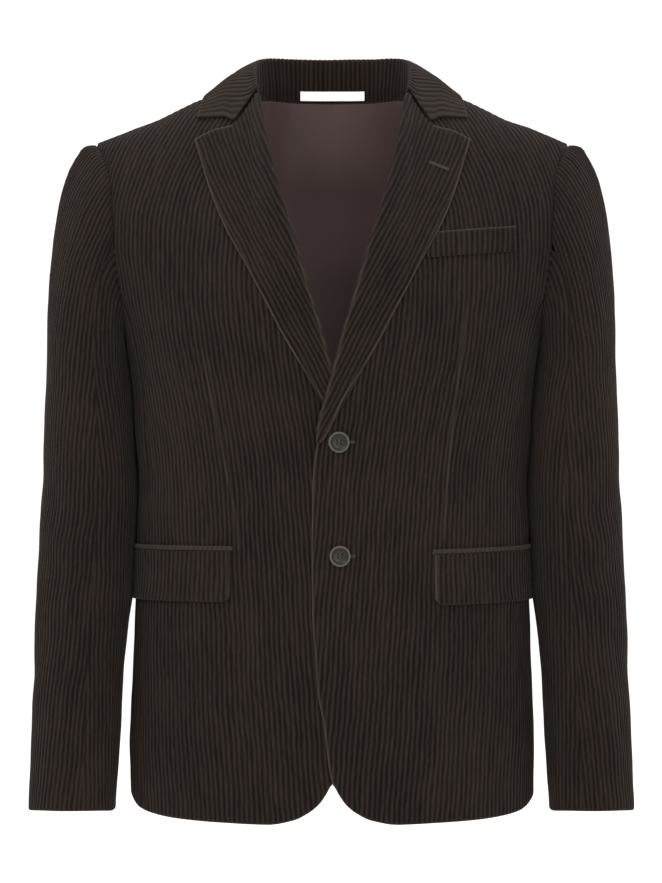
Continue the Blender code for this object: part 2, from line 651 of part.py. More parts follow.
def make_button(name, x, z, root, home):
    """A turned button with a raised rim, facing out from the front."""
    shape = bmesh.new()
    around = 20
    rings = []
    for radius, height in BUTTON_PROFILE[1:-1]:
        turns = [2 * math.pi * k / around for k in range(around)]
        spots = [(radius * math.cos(t) * MM, radius * math.sin(t) * MM, height * MM) for t in turns]
        rings.append([shape.verts.new(spot) for spot in spots])
    for inner, outer in zip(rings, rings[1:], strict=False):
        for k in range(around):
            shape.faces.new((inner[k], outer[k], outer[(k + 1) % around], inner[(k + 1) % around]))
    shape.faces.new(rings[0])
    shape.faces.new(rings[-1][::-1])
    bmesh.ops.recalc_face_normals(shape, faces=shape.faces)
    mesh = bpy.data.meshes.new(name)
    shape.to_mesh(mesh)
    shape.free()
    mesh.materials.append(new_material("button"))
    obj = link(bpy.data.objects.new(name, mesh), root, home)
    face, above = lifted(x, z, np.array(0.0)), lifted(x, z, np.array(1.0))
    normal = Vector(above - face).normalized()
    obj.location = (Vector(face) + normal * 0.5) * MM
    obj.rotation_euler = normal.to_track_quat("Z", "Y").to_euler()
    return obj


def drill(obj, cutters):
    """Cuts the four thread holes of a button."""
    for k in range(4):
        bpy.ops.mesh.primitive_cylinder_add(vertices=8, radius=BUTTON_HOLE_R * MM, depth=12 * MM)
        hole = bpy.context.object
        hole.name = f"{obj.name}_hole_{k}"
        for collection in list(hole.users_collection):
            collection.objects.unlink(hole)
        cutters.objects.link(hole)
        turn = math.radians(45 + 90 * k)
        hole.parent = obj
        hole.location = (
            BUTTON_HOLE_OFFSET * math.cos(turn) * MM,
            BUTTON_HOLE_OFFSET * math.sin(turn) * MM,
            1.5 * MM,
        )
        hole.hide_render = True
        hole.display_type = "WIRE"
        cut = obj.modifiers.new(f"hole_{k}", "BOOLEAN")
        cut.operation = "DIFFERENCE"
        cut.object = hole


def make_label(root, home):
    cloth("label", label_grid(7, 2), LABEL_WALL, "label", root, home)


def main():
    for obj in list(bpy.data.objects):
        bpy.data.objects.remove(obj, do_unlink=True)
    home = bpy.data.collections.new("corduroy_jacket")
    cutters = bpy.data.collections.new("cutters")
    bpy.context.scene.collection.children.link(home)
    bpy.context.scene.collection.children.link(cutters)
    root = bpy.data.objects.new("jacket", None)
    home.objects.link(root)
    make_fronts(root, home)
    make_backs(root, home)
    make_sides(root, home)
    make_sleeves(root, home)
    make_collar(root, home)
    make_lapels(root, home)
    make_pockets(root, home)
    make_label(root, home)
    for name, (x, z) in BUTTONS.items():
        drill(make_button(name, x, z, root, home), cutters)
    bpy.context.view_layer.update()


main()
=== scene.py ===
"""Looks of the corduroy jacket: every cloth piece is a thin closed shell on its solid's form.

The wales are real ridges. Each piece is a grid whose columns run along its wales, several to a
wale, and it is cut to the piece's seams and edges. Sizes are in millimetres until a mesh is made.
"""

import functools
import json
import math

import bmesh
import bpy
import numpy as np
from mathutils import Matrix, Vector

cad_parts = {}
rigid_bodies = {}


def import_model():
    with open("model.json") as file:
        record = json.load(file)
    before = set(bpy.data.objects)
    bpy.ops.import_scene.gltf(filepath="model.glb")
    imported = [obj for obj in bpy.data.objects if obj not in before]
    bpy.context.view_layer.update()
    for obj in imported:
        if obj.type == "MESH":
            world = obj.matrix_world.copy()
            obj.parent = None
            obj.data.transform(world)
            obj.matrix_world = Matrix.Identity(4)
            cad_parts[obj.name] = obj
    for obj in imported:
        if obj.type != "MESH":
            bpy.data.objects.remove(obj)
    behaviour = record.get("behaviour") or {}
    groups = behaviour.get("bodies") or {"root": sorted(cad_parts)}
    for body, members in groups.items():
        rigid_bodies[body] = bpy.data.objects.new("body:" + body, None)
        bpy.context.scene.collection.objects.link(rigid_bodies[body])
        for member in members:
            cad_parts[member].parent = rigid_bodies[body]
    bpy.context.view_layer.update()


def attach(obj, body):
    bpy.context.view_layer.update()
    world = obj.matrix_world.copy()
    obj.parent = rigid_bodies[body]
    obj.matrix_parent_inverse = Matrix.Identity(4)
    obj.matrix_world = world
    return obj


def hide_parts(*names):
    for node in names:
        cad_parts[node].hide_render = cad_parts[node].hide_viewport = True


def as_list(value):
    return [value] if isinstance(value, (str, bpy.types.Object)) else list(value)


MM = 0.001
WALL, LIE = 2.0, 1.0  # of a solid, and how far what lies on it stands off
SQUARE = 2.35  # how square the body is: 2 is an ellipse
FAR = 1e9
PITCH = 4.8  # from one wale to the next
SLEEVE_PITCH = 4.35  # the sleeves' wales show closer together
FINE = 8  # columns to a wale
TUCK_UNDER = 2.5  # how far the body pieces run on under the sleeve head
UNDER_RUN = 2.2  # how far the under sleeve runs on behind the wall of the body
OVERLAP = 0.4  # how far a piece runs on past a seam, so that no light shows through
WALE_HIGH = 0.95
BACK_DEEP = 1.75  # how far the inner face lies behind the form
ARC_STEP, ARC_COLUMNS = 2.0, 165  # of the table of body angles by length
SECTION = 100  # steps across a section of a sleeve
COLLAR_CREST = 21  # row of the collar table on the fold

# ---------------------------------------------------------------- the form, as in part.py
BUTTONS = {"button_upper": (6.0, -336.5), "button_lower": (7.0, -442.5)}
FORM = {
    "z": (-700, -630, -594, -523, -484, -439, -412, -373, -335,
          -296, -240, -215, -190, -150, -110, -60, 60),
    "half": (193, 193.5, 192, 189.7, 188.8, 188.5, 187.8, 185.6, 188,
             190.5, 199, 206, 216, 229, 235.5, 236, 236),
    "fore": (114, 115, 116, 115.5, 115, 114, 114, 115, 118,
             121, 124.5, 125, 125, 122, 118, 114, 112),
    "aft": (121, 120, 119, 113, 108, 101, 98, 97, 101, 108, 117, 119, 120, 118, 112, 100, 92),
    "side": (4, 4, 4, 3, 2, 1, 0, 0, 1, 2, 3, 4, 5, 6, 7, 8, 8),
}
RIDGE = {
    "x": (0, 20, 40, 62, 77, 95, 115, 128, 143, 167, 186, 205, 215, 228, 245),
    "z": (76, 75, 67, 34, 9, 3, -2.5, -6.5, -13.5, -26, -33, -40.5, -44.4, -50, -60),
}
RIDGE_Y, RIDGE_LEAN = 20.0, 0.053  # the shoulder line from above
FORE_RISE, FORE_ROUND = 235.0, 1.7
AFT_RISE, AFT_ROUND = 190.0, 1.8
CROWN_ROUND, CROWN_FROM, CROWN_TO = 0.7, 120.0, 225.0
EDGE = {
    "z": (-700, -655, -643, -623, -598, -576, -540, -494, -449, -380, -352, -335, -315, -296, -277,
          -265, -232, -195, -158, -120, -95, -72, -52, -31, -4, 2, 9),
    "x": (10, 0, -3, -5.5, -8.5, -13, -16, -19, -19.5, -19, -17, -14, -10, -5, 0.5,
          4, 12.5, 24, 34.5, 46.5, 53.5, 59.6, 64, 68, 72, 74.5, 77),
}
HEM = {
    "at": (-8, 0, 1, 2.4, 5, 8, 15, 27.5, 45, 67, 90, 120, 180),
    "z": (-635, -655.5, -665, -674.3, -683, -688.5, -692.8, -691.8, -690, -685, -673, -672, -676),
}
NAPE = {"x": (0, 40, 62, 72, 76, 77), "z": (-2, -1.5, -1, 0, 4, 9)}
SEAM = {"fore": 69.0, "aft": 110.0}  # degrees from the front middle line
NECK_X = 77.0
RING = {
    "at": (0, 20, 40, 60, 80, 100, 120, 140, 160, 180),
    "fore_z": (-50, -60, -76, -98, -127, -155, -181, -205, -227, -238),
    "fore_x": (228, 221, 215, 210.5, 208.2, 207.3, 203.8, 199.5, 199.4, 199.1),
    "aft_z": (-50, -60, -76, -98, -127, -155, -180, -203, -225, -238),
    "aft_x": (228, 222.5, 218, 214.5, 212, 210.5, 207.5, 203.5, 201, 199.1),
}
SLEEVE = {
    "z": (-700, -683, -655, -610, -557, -490, -450, -412, -373, -335, -310, -257, -240),
    "inner": (207.5, 207.3, 205.5, 203, 200.5, 194.6, 192.8, 190.5, 188.2, 190.3, 192.3,
              197.6, 199.5),
    "outer": (289, 288.6, 287.3, 286, 284.5, 282.5, 280.7, 279.3, 277.5, 276, 275, 273, 272.5),
    "front": (-76, -76, -75.5, -74.5, -72.5, -69.5, -68, -67, -66, -66, -66, -66, -65),
    "back": (23, 24, 27, 32, 38.5, 48, 55, 61, 66, 70, 72, 75, 76),
}
CUFF, BICEPS = -683.5, -257.0
TOP_ANGLES = np.linspace(-125, 100, 151)  # degrees round a sleeve from its outer side
UNDER_ANGLES = np.linspace(99.7, 235.3, 91)
INNER_SQUARE, OUTER_SQUARE = 2.8, 2.15
SLEEVE_LEAN = {1: -1.3, -1: 1.2}
CUFF_DIP = 3.0
TUCK = {"at": 204, "spread": 17, "deep": 3.0, "z": (-500, -455, -300, -245)}
FOLDS = (
    {"z": -372, "slope": -30, "at": 60, "spread": 55, "high": 20, "deep": 2.6},
    {"z": -432, "slope": -26, "at": 70, "spread": 50, "high": 18, "deep": 2.2},
    {"z": -560, "slope": 34, "at": 35, "spread": 55, "high": 20, "deep": 2.0},
)
COLLAR = {
    "at": (0.0, 0.25, 0.5, 0.7, 0.85, 1.0),
    "neck": ((0, 82, -1), (34.5, 78.9, -0.5), (58.9, 61.8, 0), (72.6, 39, 2.6), (75.2, 17, 10.2),
             (71.3, -20, -2)),
    "fold": ((0, 76, 40), (36, 73.5, 40), (64, 58, 39), (75.5, 38, 33.5), (77, 12, 25),
             (73, -24, 3)),
    "leaf": ((0, 91.5, -12), (44, 86, -12), (85, 51, -12), (109, 31.5, -2.5), (122.5, 8, -1),
             (131, -29, -23)),
}
GORGE = {"x": (72, 95, 114.5, 131), "z": (-4, -36.2, -41.3, -50)}
GORGE_X, GORGE_Z = 95.0, -33.5
LEAF_CORNER = (129.5, -31.0)
LAPEL = {
    "z": (-341, -332, -322, -297, -279, -245, -184, -133, -112, -51, -4),
    "x": (-13.6, -6.5, -1, 10, 21.5, 42, 74, 102, 111, 131, 147),
}
LAPEL_FOOT = -337.0
FLAP = {"front": 95.0, "length_to": 88.0, "top": -438.2, "foot": -485.5, "round": 7.0}
JET = {"front": 92.5, "length_to": 88.0, "low": -437.6, "high": -433.2}
POCKET_TILT = {1: 3.2, -1: 0.0}
WELT = {"x1": 172.0, "z0": -140.0, "z1": -133.5, "high": 24.0}
LABEL = {"half": 31.5, "low": -0.4, "high": 8.6}
LINING_FOOT = -655.0
LINING_DEEP = WALL + 2.2  # how far it stands in from the form
LINING_SHORT = 7.0  # how far short of the seam of the back it ends

# How the wales of a front lean outward going up, in degrees, and how they draw in at the waist.
FRONT_LEAN = {
    "z": (-700, -600, -480, -400, -365, -330, -285, -240, -215, -190, -170, -150, -126, -104, -82,
          -59, 12),
    "lean": (3.5, 4, 4.5, 4.5, 5, 7, 7, 5.5, 4, 2.5, 1.5, -0.5, -4.5, -13, -17, -20, -20),
}
FRONT_DRAW = {"z": (-700, -600, -365, -190, 12), "share": (1.0, 1.0, 0.93, 1.0, 1.0)}
BACK_DRAW = {"z": (-700, -600, -373, -215, 12), "share": (1.0, 1.0, 0.955, 1.0, 1.0)}
LAPEL_LEAN = {"z": (-345, -150, -120, -80, -50, -20, 0), "lean": (27.5, 27.0, 26, 23, 19.5, 17, 16)}
SLEEVE_TWIST = math.tan(math.radians(5.5))

# Soft creases on the front: side (+1 the wearer's left), two ends (X, Z), width, height.
FRONT_CREASES = (
    (-1, (105, -272), (16, -337), 13, 2.0),
    (-1, (48, -288), (30, -300), 15, -2.2),
    (-1, (88, -505), (84, -668), 8, -2.4),
    (-1, (58, -500), (52, -610), 17, 2.0),
    (-1, (31, -575), (30, -600), 12, -1.6),
    (-1, (120, -545), (112, -672), 14, 1.4),
    (1, (84, -535), (100, -640), 10, 1.8),
    (1, (66, -520), (74, -660), 10, -1.4),
    (1, (95, -262), (22, -338), 13, 1.7),
    (1, (60, -300), (30, -325), 13, -1.3),
    (1, (140, -230), (118, -330), 15, 1.2),
    (-1, (150, -215), (132, -300), 15, 1.3),
    (1, (40, -560), (34, -670), 13, 1.2),
)
BACK_CREASES = (
    (1, (60, -300), (14, -352), 13, 1.6),
    (-1, (72, -288), (18, -356), 13, 1.8),
    (1, (120, -150), (84, -262), 17, 1.4),
    (-1, (126, -160), (88, -268), 16, 1.5),
    (1, (70, -470), (92, -640), 17, 1.5),
    (-1, (58, -480), (76, -650), 16, 1.6),
    (1, (30, -520), (34, -660), 13, -1.3),
    (-1, (106, -500), (114, -640), 13, -1.3),
)


# ---------------------------------------------------------------- reading the tables
def bell(away, wide):
    """1 in the middle, falling off on both sides."""
    return np.exp(-((away / wide) ** 2))


def nearest(*depths):
    return functools.reduce(np.minimum, depths)


def lengths(points):
    """Length along lines of points, from their first."""
    step = np.linalg.norm(np.diff(points, axis=0), axis=-1)
    return np.concatenate([np.zeros((1, *step.shape[1:])), np.cumsum(step, axis=0)])


def walked(line, arc, want):
    """The points at the wanted lengths along a line."""
    return np.stack([np.interp(want, arc, line[:, k]) for k in range(3)], axis=-1)


def hermite(t, step, a, slope_a, b, slope_b):
    return (
        (1 + 2 * t) * (1 - t) ** 2 * a + t * (1 - t) ** 2 * step * slope_a
        + t * t * (3 - 2 * t) * b + t * t * (t - 1) * step * slope_b
    )


def bezier(t, a, b, c, d):
    return (1 - t) ** 3 * a + 3 * t * (1 - t) ** 2 * b + 3 * t * t * (1 - t) * c + t**3 * d


def track(table, at, column=None):
    """A column of a table, or its last, at places of its first, by a monotone cubic."""
    keys = list(table)
    x, y = np.array(table[keys[0]], float), np.array(table[column or keys[-1]], float)
    step = np.diff(x)
    rise = np.diff(y) / step
    slope = np.zeros_like(y)
    slope[0], slope[-1] = rise[0], rise[-1]
    near, far = 2 * step[1:] + step[:-1], step[1:] + 2 * step[:-1]
    same = rise[1:] * rise[:-1] > 0
    before, after = np.where(same, rise[:-1], 1.0), np.where(same, rise[1:], 1.0)
    slope[1:-1] = np.where(same, (near + far) / (near / before + far / after), 0.0)
    at = np.clip(at, x[0], x[-1])
    i = np.clip(np.searchsorted(x, at) - 1, 0, len(x) - 2)
    return hermite((at - x[i]) / step[i], step[i], y[i], slope[i], y[i + 1], slope[i + 1])


def smooth(low, high, at):
    t = np.clip((np.asarray(at, float) - low) / (high - low), 0, 1)
    return t * t * (3 - 2 * t)


def catmull(at, count):
    """Indices and weights of the four rows around a place."""
    at = np.clip(at, 0, count - 1)
    i = np.minimum(at.astype(int), count - 2)
    t = at - i
    weights = (
        -0.5 * t + t * t - 0.5 * t**3,
        1 - 2.5 * t * t + 1.5 * t**3,
        0.5 * t + 2 * t * t - 1.5 * t**3,
        -0.5 * t * t + 0.5 * t**3,
    )
    return [(np.clip(i + k - 1, 0, count - 1), weight) for k, weight in enumerate(weights)]


def sample(table, row, column):
    """A table of numbers or points at fractional rows and columns, smoothly."""
    row, column = np.broadcast_arrays(np.asarray(row, float), np.asarray(column, float))
    columns = catmull(column, table.shape[1])
    total = 0.0
    for i, a in catmull(row, table.shape[0]):
        for j, b in columns:
            weight = a * b
            total = total + table[i, j] * (weight[..., None] if table.ndim == 3 else weight)
    return total


def body(angle, z):
    """The body form at an angle from the front middle line, in radians, and a height."""
    angle, z = np.broadcast_arrays(np.asarray(angle, float), np.asarray(z, float))
    half, fore, aft, side = (track(FORM, z, column) for column in ("half", "fore", "aft", "side"))
    x = half * np.sign(np.sin(angle)) * np.abs(np.sin(angle)) ** (2 / SQUARE)
    level = np.abs(np.cos(angle)) ** (2 / SQUARE)
    ahead = np.cos(angle) > 0
    y = np.where(ahead, side - fore * level, side + aft * level)
    drop = np.clip(track(RIDGE, np.abs(x)) - z, 0, None)
    ridge_y = RIDGE_Y - RIDGE_LEAN * np.abs(x)
    more = CROWN_ROUND * smooth(CROWN_FROM, CROWN_TO, np.abs(x))
    before, behind = (
        (1 - (1 - np.clip(drop / rise, 0, 1)) ** (rounding + more)) ** (1 / (rounding + more))
        for rise, rounding in ((FORE_RISE, FORE_ROUND), (AFT_RISE, AFT_ROUND))
    )
    y = ridge_y + (y - ridge_y) * np.where(ahead, before, behind)
    return np.stack([x, y, z], axis=-1)


def angle_at(x, z, back=False):
    share = np.clip(np.abs(x) / track(FORM, z, "half"), 0, 1)
    angle = np.arcsin(share ** (SQUARE / 2)) * np.sign(x)
    return math.pi - angle if back else angle


def push(x, z):
    """How far the under front lies behind the form, where the other front covers it."""
    deep = 3.4 + 2.8 * smooth(-375, -345, z) * (1 - smooth(-262, -228, z))
    fade = 1 - 0.6 * smooth(-235, -180, z)
    return deep * fade * (1 - smooth(12, 48, x))


def unit(vectors):
    return vectors / np.maximum(np.linalg.norm(vectors, axis=-1, keepdims=True), 1e-9)


def normal_of(surface, a, b, reach, rise=0.5):
    """Normal of a surface given by two places, from its differences along each."""
    along = surface(a + reach, b) - surface(a - reach, b)
    return unit(np.cross(along, surface(a, b + rise) - surface(a, b - rise)))


def lifted(x, z, out, under=False):
    """Points of the front by X and height, moved out along its normal."""
    def at(x, z):
        points = body(angle_at(x, z), z)
        if under:
            points[..., 1] += push(x, z)
        return points

    x, z = np.broadcast_arrays(np.asarray(x, float), np.asarray(z, float))
    return at(x, z) + normal_of(at, x, z, 0.5) * np.asarray(out)[..., None]


def raised(turn, z, out):
    """Points of the body form by angle and height, moved out along its normal."""
    turn, z = np.broadcast_arrays(np.asarray(turn, float), np.asarray(z, float))
    return body(turn, z) + normal_of(body, turn, z, 0.004) * np.asarray(out)[..., None]


def ring(angle):
    """The armhole seam, by degrees round the sleeve: in front above 0, behind below 0 and at -0."""
    points = []
    for where in np.atleast_1d(angle):
        end = "aft" if np.signbit(where) else "fore"
        z = np.array(RING[end + "_z"], float)
        turn = np.degrees(angle_at(np.array(RING[end + "_x"], float), z, end == "aft"))
        turn[-1] = 90.0
        knots = {"at": RING["at"], "z": z, "turn": turn}
        height, turned = (track(knots, abs(where), column) for column in ("z", "turn"))
        points.append((math.radians(turned), float(height)))
    return np.array(points)


@functools.cache
def ring_table(end):
    turns = np.linspace(180, 0, 37) * (1 if end == "fore" else -1)
    points = ring(turns)
    return {"z": points[:, 1], "turn": points[:, 0]}


@functools.cache
def meeting_height(end):
    """Where a side seam runs into the armhole."""
    table = ring_table(end)
    seam = math.radians(SEAM[end])
    beyond = table["turn"] > seam if end == "fore" else table["turn"] < seam
    last = int(np.argmin(beyond)) - 1
    low, high = table["z"][last], table["z"][last + 1]
    share = (seam - table["turn"][last]) / (table["turn"][last + 1] - table["turn"][last])
    return float(low + (high - low) * share)


def outer_bound(z, end):
    return np.where(z < meeting_height(end), math.radians(SEAM[end]), track(ring_table(end), z))


def hem_height(angle):
    return track(HEM, np.degrees(angle))


def sleeve_section(angle, z, side):
    """The sleeve form below the armhole, by degrees from its outer side and height."""
    turn = np.radians(angle)
    edges = ("inner", "outer", "front", "back")
    inner, outer, front, back = (track(SLEEVE, z, edge) for edge in edges)
    outer = outer + SLEEVE_LEAN[side]
    square = np.where(np.cos(turn) < 0, INNER_SQUARE, OUTER_SQUARE)
    across = np.sign(np.cos(turn)) * np.abs(np.cos(turn)) ** (2 / square)
    fore = np.sign(np.sin(turn)) * np.abs(np.sin(turn)) ** (2 / square)
    dent = np.zeros(np.broadcast(turn, z).shape)
    for fold in FOLDS:
        line = z - fold["z"] - fold["slope"] * turn
        away = (np.degrees(turn) - fold["at"]) / fold["spread"]
        dent = dent + fold["deep"] * np.exp(-((line / fold["high"]) ** 2) - away**2)
    low, full, still, high = TUCK["z"]
    tuck = TUCK["deep"] * smooth(low, full, z) * (1 - smooth(still, high, z))
    tuck = tuck * bell(np.degrees(turn) - TUCK["at"], TUCK["spread"])
    x = (inner + outer) / 2 + ((outer - inner) / 2 - dent) * across - tuck
    y = (front + back) / 2 - ((back - front) / 2 - dent) * fore
    lower = CUFF_DIP * (1 - smooth(-684, -640, z)) * np.abs(np.cos(turn)) ** 4
    return np.stack(np.broadcast_arrays(x, y, z - lower), axis=-1)


def cap_curves(angles, side, count):
    """The sleeve above the biceps: curves to the armhole by angle, from the biceps up."""
    angles = np.asarray(angles, float)
    seam = ring(np.where(angles > 180, angles - 360, angles))
    start = body(seam[:, 0], seam[:, 1])
    turn = np.radians(angles)
    crown = np.clip(np.cos(turn), 0, 1)
    fall = -0.62 + 0.38 * np.cos(turn) + 0.18 * crown**4
    out = np.stack([0.62 + 0.38 * np.cos(turn), -0.5 * np.sin(turn), fall], axis=-1)
    end = sleeve_section(angles, BICEPS + 0 * angles, side)
    reach = np.linalg.norm(end - start, axis=-1)
    first_pull = start + out * (reach * (0.35 - 0.17 * crown))[:, None]
    last_pull = end + np.array([0, 0, 1.0]) * (reach * (0.35 + 0.1 * crown))[:, None]
    return bezier(np.linspace(1, 0, count)[:, None, None], start, first_pull, last_pull, end)


# ---------------------------------------------------------------- relief
def wale_ridge(u):
    """Height of the pile across a wale: a rounded ridge with a narrow groove, a little uneven."""
    phase = u - np.floor(u)
    number = np.floor(u)
    uneven = 1 + 0.1 * np.sin(number * 12.9898 + 1.3) + 0.06 * np.sin(number * 4.1 + 2.0)
    return WALE_HIGH * uneven * (1 - np.abs(2 * phase - 1) ** 1.7) - 0.55


def drift(points, seed):
    """A slow unevenness of the cloth."""
    x, y, z = points[..., 0], points[..., 1], points[..., 2]
    return 0.35 * (
        np.sin(x * 0.071 + z * 0.023 + seed) * np.sin(z * 0.037 - y * 0.05 + 2.1 * seed)
        + 0.6 * np.sin(x * 0.13 - z * 0.061 + 3.3 * seed) * np.cos(y * 0.11 + z * 0.083 + seed)
    )


def crease(x, z, ends, width, height):
    """A soft trough or ridge along a line in the X-Z plane."""
    (x0, z0), (x1, z1) = ends
    length = math.hypot(x1 - x0, z1 - z0)
    along = ((x - x0) * (x1 - x0) + (z - z0) * (z1 - z0)) / length**2
    near = np.clip(along, 0, 1)
    away = (x - x0 - near * (x1 - x0)) ** 2 + (z - z0 - near * (z1 - z0)) ** 2
    over = np.maximum(np.abs(along - 0.5) - 0.5, 0) * length
    fade = np.exp(-away / width**2 + (over / width) ** 2 * 0.6)
    return height * fade * (0.55 + 0.45 * np.sin(np.pi * near))


def creased(total, table, side, x, z):
    """A relief with the creases of one side added."""
    for where, start, stop, width, height in table:
        if where == side:
            total = total + crease(x, z, (start, stop), width, height)
    return total


def line_away(x, z, line):
    """Distance from a line of points in the X-Z plane, and how far along it the nearest is."""
    best, place = np.full(np.shape(x), 1e9), np.zeros(np.shape(x))
    total = 0.0
    for (x0, z0), (x1, z1) in zip(line, line[1:], strict=False):
        length = math.hypot(x1 - x0, z1 - z0)
        t = np.clip(((x - x0) * (x1 - x0) + (z - z0) * (z1 - z0)) / length**2, 0, 1)
        away = np.hypot(x - x0 - t * (x1 - x0), z - z0 - t * (z1 - z0))
        place = np.where(away < best, total + t * length, place)
        best = np.minimum(best, away)
        total += length
    return best, place / total


def highlight_line(away, place=0.5, wide=1.0):
    """A painted highlight: a line along an edge, a fold or a seam."""
    return bell(away - place, wide)


def seam_dip(away, deep=1.0, wide=2.3):
    return -deep * bell(np.maximum(away, 0), wide)


def edge_roll(away, deep=1.3, wide=2.6):
    """How a folded edge turns in."""
    t = np.clip(away / wide, 0, 1)
    return -deep * (1 - np.sqrt(1 - (1 - t) ** 2 * 0.98))


# ---------------------------------------------------------------- from grids to meshes
def subdivide(knots):
    """Columns between knots given in wales, and the column at which each knot stands."""
    columns, places = [], [0]
    for a, b in zip(knots, knots[1:], strict=False):
        count = max(1, round(FINE * (b - a)))
        columns.extend(np.linspace(a, b, count + 1)[:-1])
        places.append(places[-1] + count)
    columns.append(knots[-1])
    return np.array(columns), np.array(places)


def whole_wales(corners):
    """Knots: the corners of a piece and every whole wale between them."""
    low, high = min(corners), max(corners)
    knots = sorted([*corners, *range(math.ceil(low), math.floor(high) + 1)])
    kept = [knots[0]]
    for knot in knots[1:]:
        if knot - kept[-1] > 1e-4:
            if knot - kept[-1] < 0.04 and knot not in corners:
                continue
            if knot - kept[-1] < 0.04 and kept[-1] not in corners:
                kept.pop()
            kept.append(knot)
    return np.array(kept)


ROW_ENDS = (0.0, 0.7, 1.6, 3.0, 5.2)
HEAD_ENDS = (*ROW_ENDS, 8.0, 11.5, 15.5, 20.0, 25.0)


def row_places(length, count, crowd_low, crowd_high, ends):
    """Arc lengths of the rows of each column, closer together at its ends."""
    near = np.array(ends)
    scale = np.minimum(1.0, length / 30.0)
    low = near[:, None] * scale if crowd_low else np.zeros((1, len(length)))
    high = length - near[::-1, None] * scale if crowd_high else length[None]
    middle = count - len(low) - len(high)
    share = np.arange(1, middle + 1)[:, None] / (middle + 1)
    return np.concatenate([low, low[-1] + (high[0] - low[-1]) * share, high])


def rows_of(surface, c, low, high, count, crowd_low, crowd_high, bunch, ends):
    """Heights of the rows between two heights, spaced by the length along each column."""
    t = np.linspace(0, 1, 110)[:, None]
    if bunch:
        t = 1 - (1 - t) ** bunch
    v = low + (high - low) * t
    arc = lengths(surface(c + 0 * v, v))
    places = row_places(arc[-1], count, crowd_low, crowd_high, ends)
    found = np.empty_like(places)
    for column in range(len(c)):
        found[:, column] = np.interp(places[:, column], arc[:, column], v[:, column])
    found[0], found[-1] = low, high
    return found


def crossings(inside, c, z):
    """Lowest and highest height of each column within the piece, or nan."""
    f = inside(c + 0 * z[:, None], z[:, None] + 0 * c)
    ok = f > 0
    low, high = np.full(len(c), np.nan), np.full(len(c), np.nan)
    for column in np.flatnonzero(ok.any(axis=0)):
        rows = np.flatnonzero(ok[:, column])
        a, b = rows[0], rows[-1]
        low[column], high[column] = z[a], z[b]
        if a > 0:
            g0, g1 = f[a - 1, column], f[a, column]
            low[column] = z[a - 1] + (z[a] - z[a - 1]) * g0 / (g0 - g1)
        if b < len(z) - 1:
            g0, g1 = f[b, column], f[b + 1, column]
            high[column] = z[b] + (z[b + 1] - z[b]) * g0 / (g0 - g1)
    return low, high


def narrowings(z, low, high, rise=0.3, steps=()):
    """Heights where a piece is narrowest on either side, and the wale places of its corners.

    A narrowing is counted where the side goes out again by the rise. Steps are more heights to
    split the piece at, so that no face at its sides runs far along them.
    """
    splits, corners = [], []
    for sign, f in ((1, high), (-1, -low)):
        for i in range(1, len(f) - 1):
            if f[i] < f[i - 1] and f[i] <= f[i + 1]:
                left, right = i, i
                while left > 0 and f[left - 1] >= f[i]:
                    left -= 1
                while right < len(f) - 1 and f[right + 1] >= f[i]:
                    right += 1
                if min(f[left : i + 1].max(), f[i : right + 1].max()) - f[i] > rise:
                    corners.append(sign * float(f[i]))
                    if all(abs(z[i] - other) > 6 for other in splits):
                        splits.append(float(z[i]))
    splits += [step for step in steps if all(abs(step - other) > 9 for other in splits)]
    splits.sort()
    edges = [z[0], *splits, z[-1]]
    for a, b in zip(edges, edges[1:], strict=False):
        part = (z >= a) & (z <= b)
        corners += [float(low[part].min()) + 0.02, float(high[part].max()) - 0.02]
    return splits, corners


def shell_faces(outer, inner, cell, joined, places, starts):
    """Faces of a closed shell: outer quads, one inner quad a wale, and rims with fans."""
    quads, backs, tris = [], [], []
    rows, intervals = cell.shape
    above = {start - 2: (start, both) for start, both in zip(starts, joined, strict=True)}
    below = {start: (start - 2, both) for start, both in zip(starts, joined, strict=True)}

    def goes_on(r, i, step, past):
        """Whether the face up or down from one is there, also past a split."""
        if r in past:
            row, both = past[r]
            return both[i] and cell[row, i]
        return 0 <= r + step < rows and cell[r + step, i]

    for i, (c0, c1) in enumerate(zip(places, places[1:], strict=False)):
        rr = np.flatnonzero(cell[:, i])
        if not len(rr):
            continue
        a, b = outer[:, c0:c1], outer[:, c0 + 1 : c1 + 1]
        quads.append(np.stack([a[rr], b[rr], b[rr + 1], a[rr + 1]], axis=-1).reshape(-1, 4))
        a, b = inner[:, i], inner[:, i + 1]
        backs.append(np.stack([a[rr], a[rr + 1], b[rr + 1], b[rr]], axis=-1))
        for r in rr:
            low, high = ((outer[k, c0 : c1 + 1], a[k], b[k]) for k in (r, r + 1))
            if not goes_on(r, i, 1, above):
                tris.extend(fan(*high, False))
            if not goes_on(r, i, -1, below):
                tris.extend(fan(*low, True))
            if i == 0 or not cell[r, i - 1]:
                quads.append([[low[0][0], high[0][0], high[1], low[1]]])
            if i == intervals - 1 or not cell[r, i + 1]:
                quads.append([[high[0][-1], low[0][-1], low[2], high[2]]])
    return np.concatenate(quads), np.concatenate(backs), np.array(tris, int).reshape(-1, 3)


def fan(line, p, q, reverse):
    """Triangles between a line of outer points and the two inner points behind its ends."""
    middle = len(line) // 2
    found = [(line[k], line[k + 1], p) for k in range(middle)]
    found.append((line[middle], q, p))
    found += [(line[k], line[k + 1], q) for k in range(middle, len(line) - 1)]
    return [(b, a, c) for a, b, c in found] if reverse else found


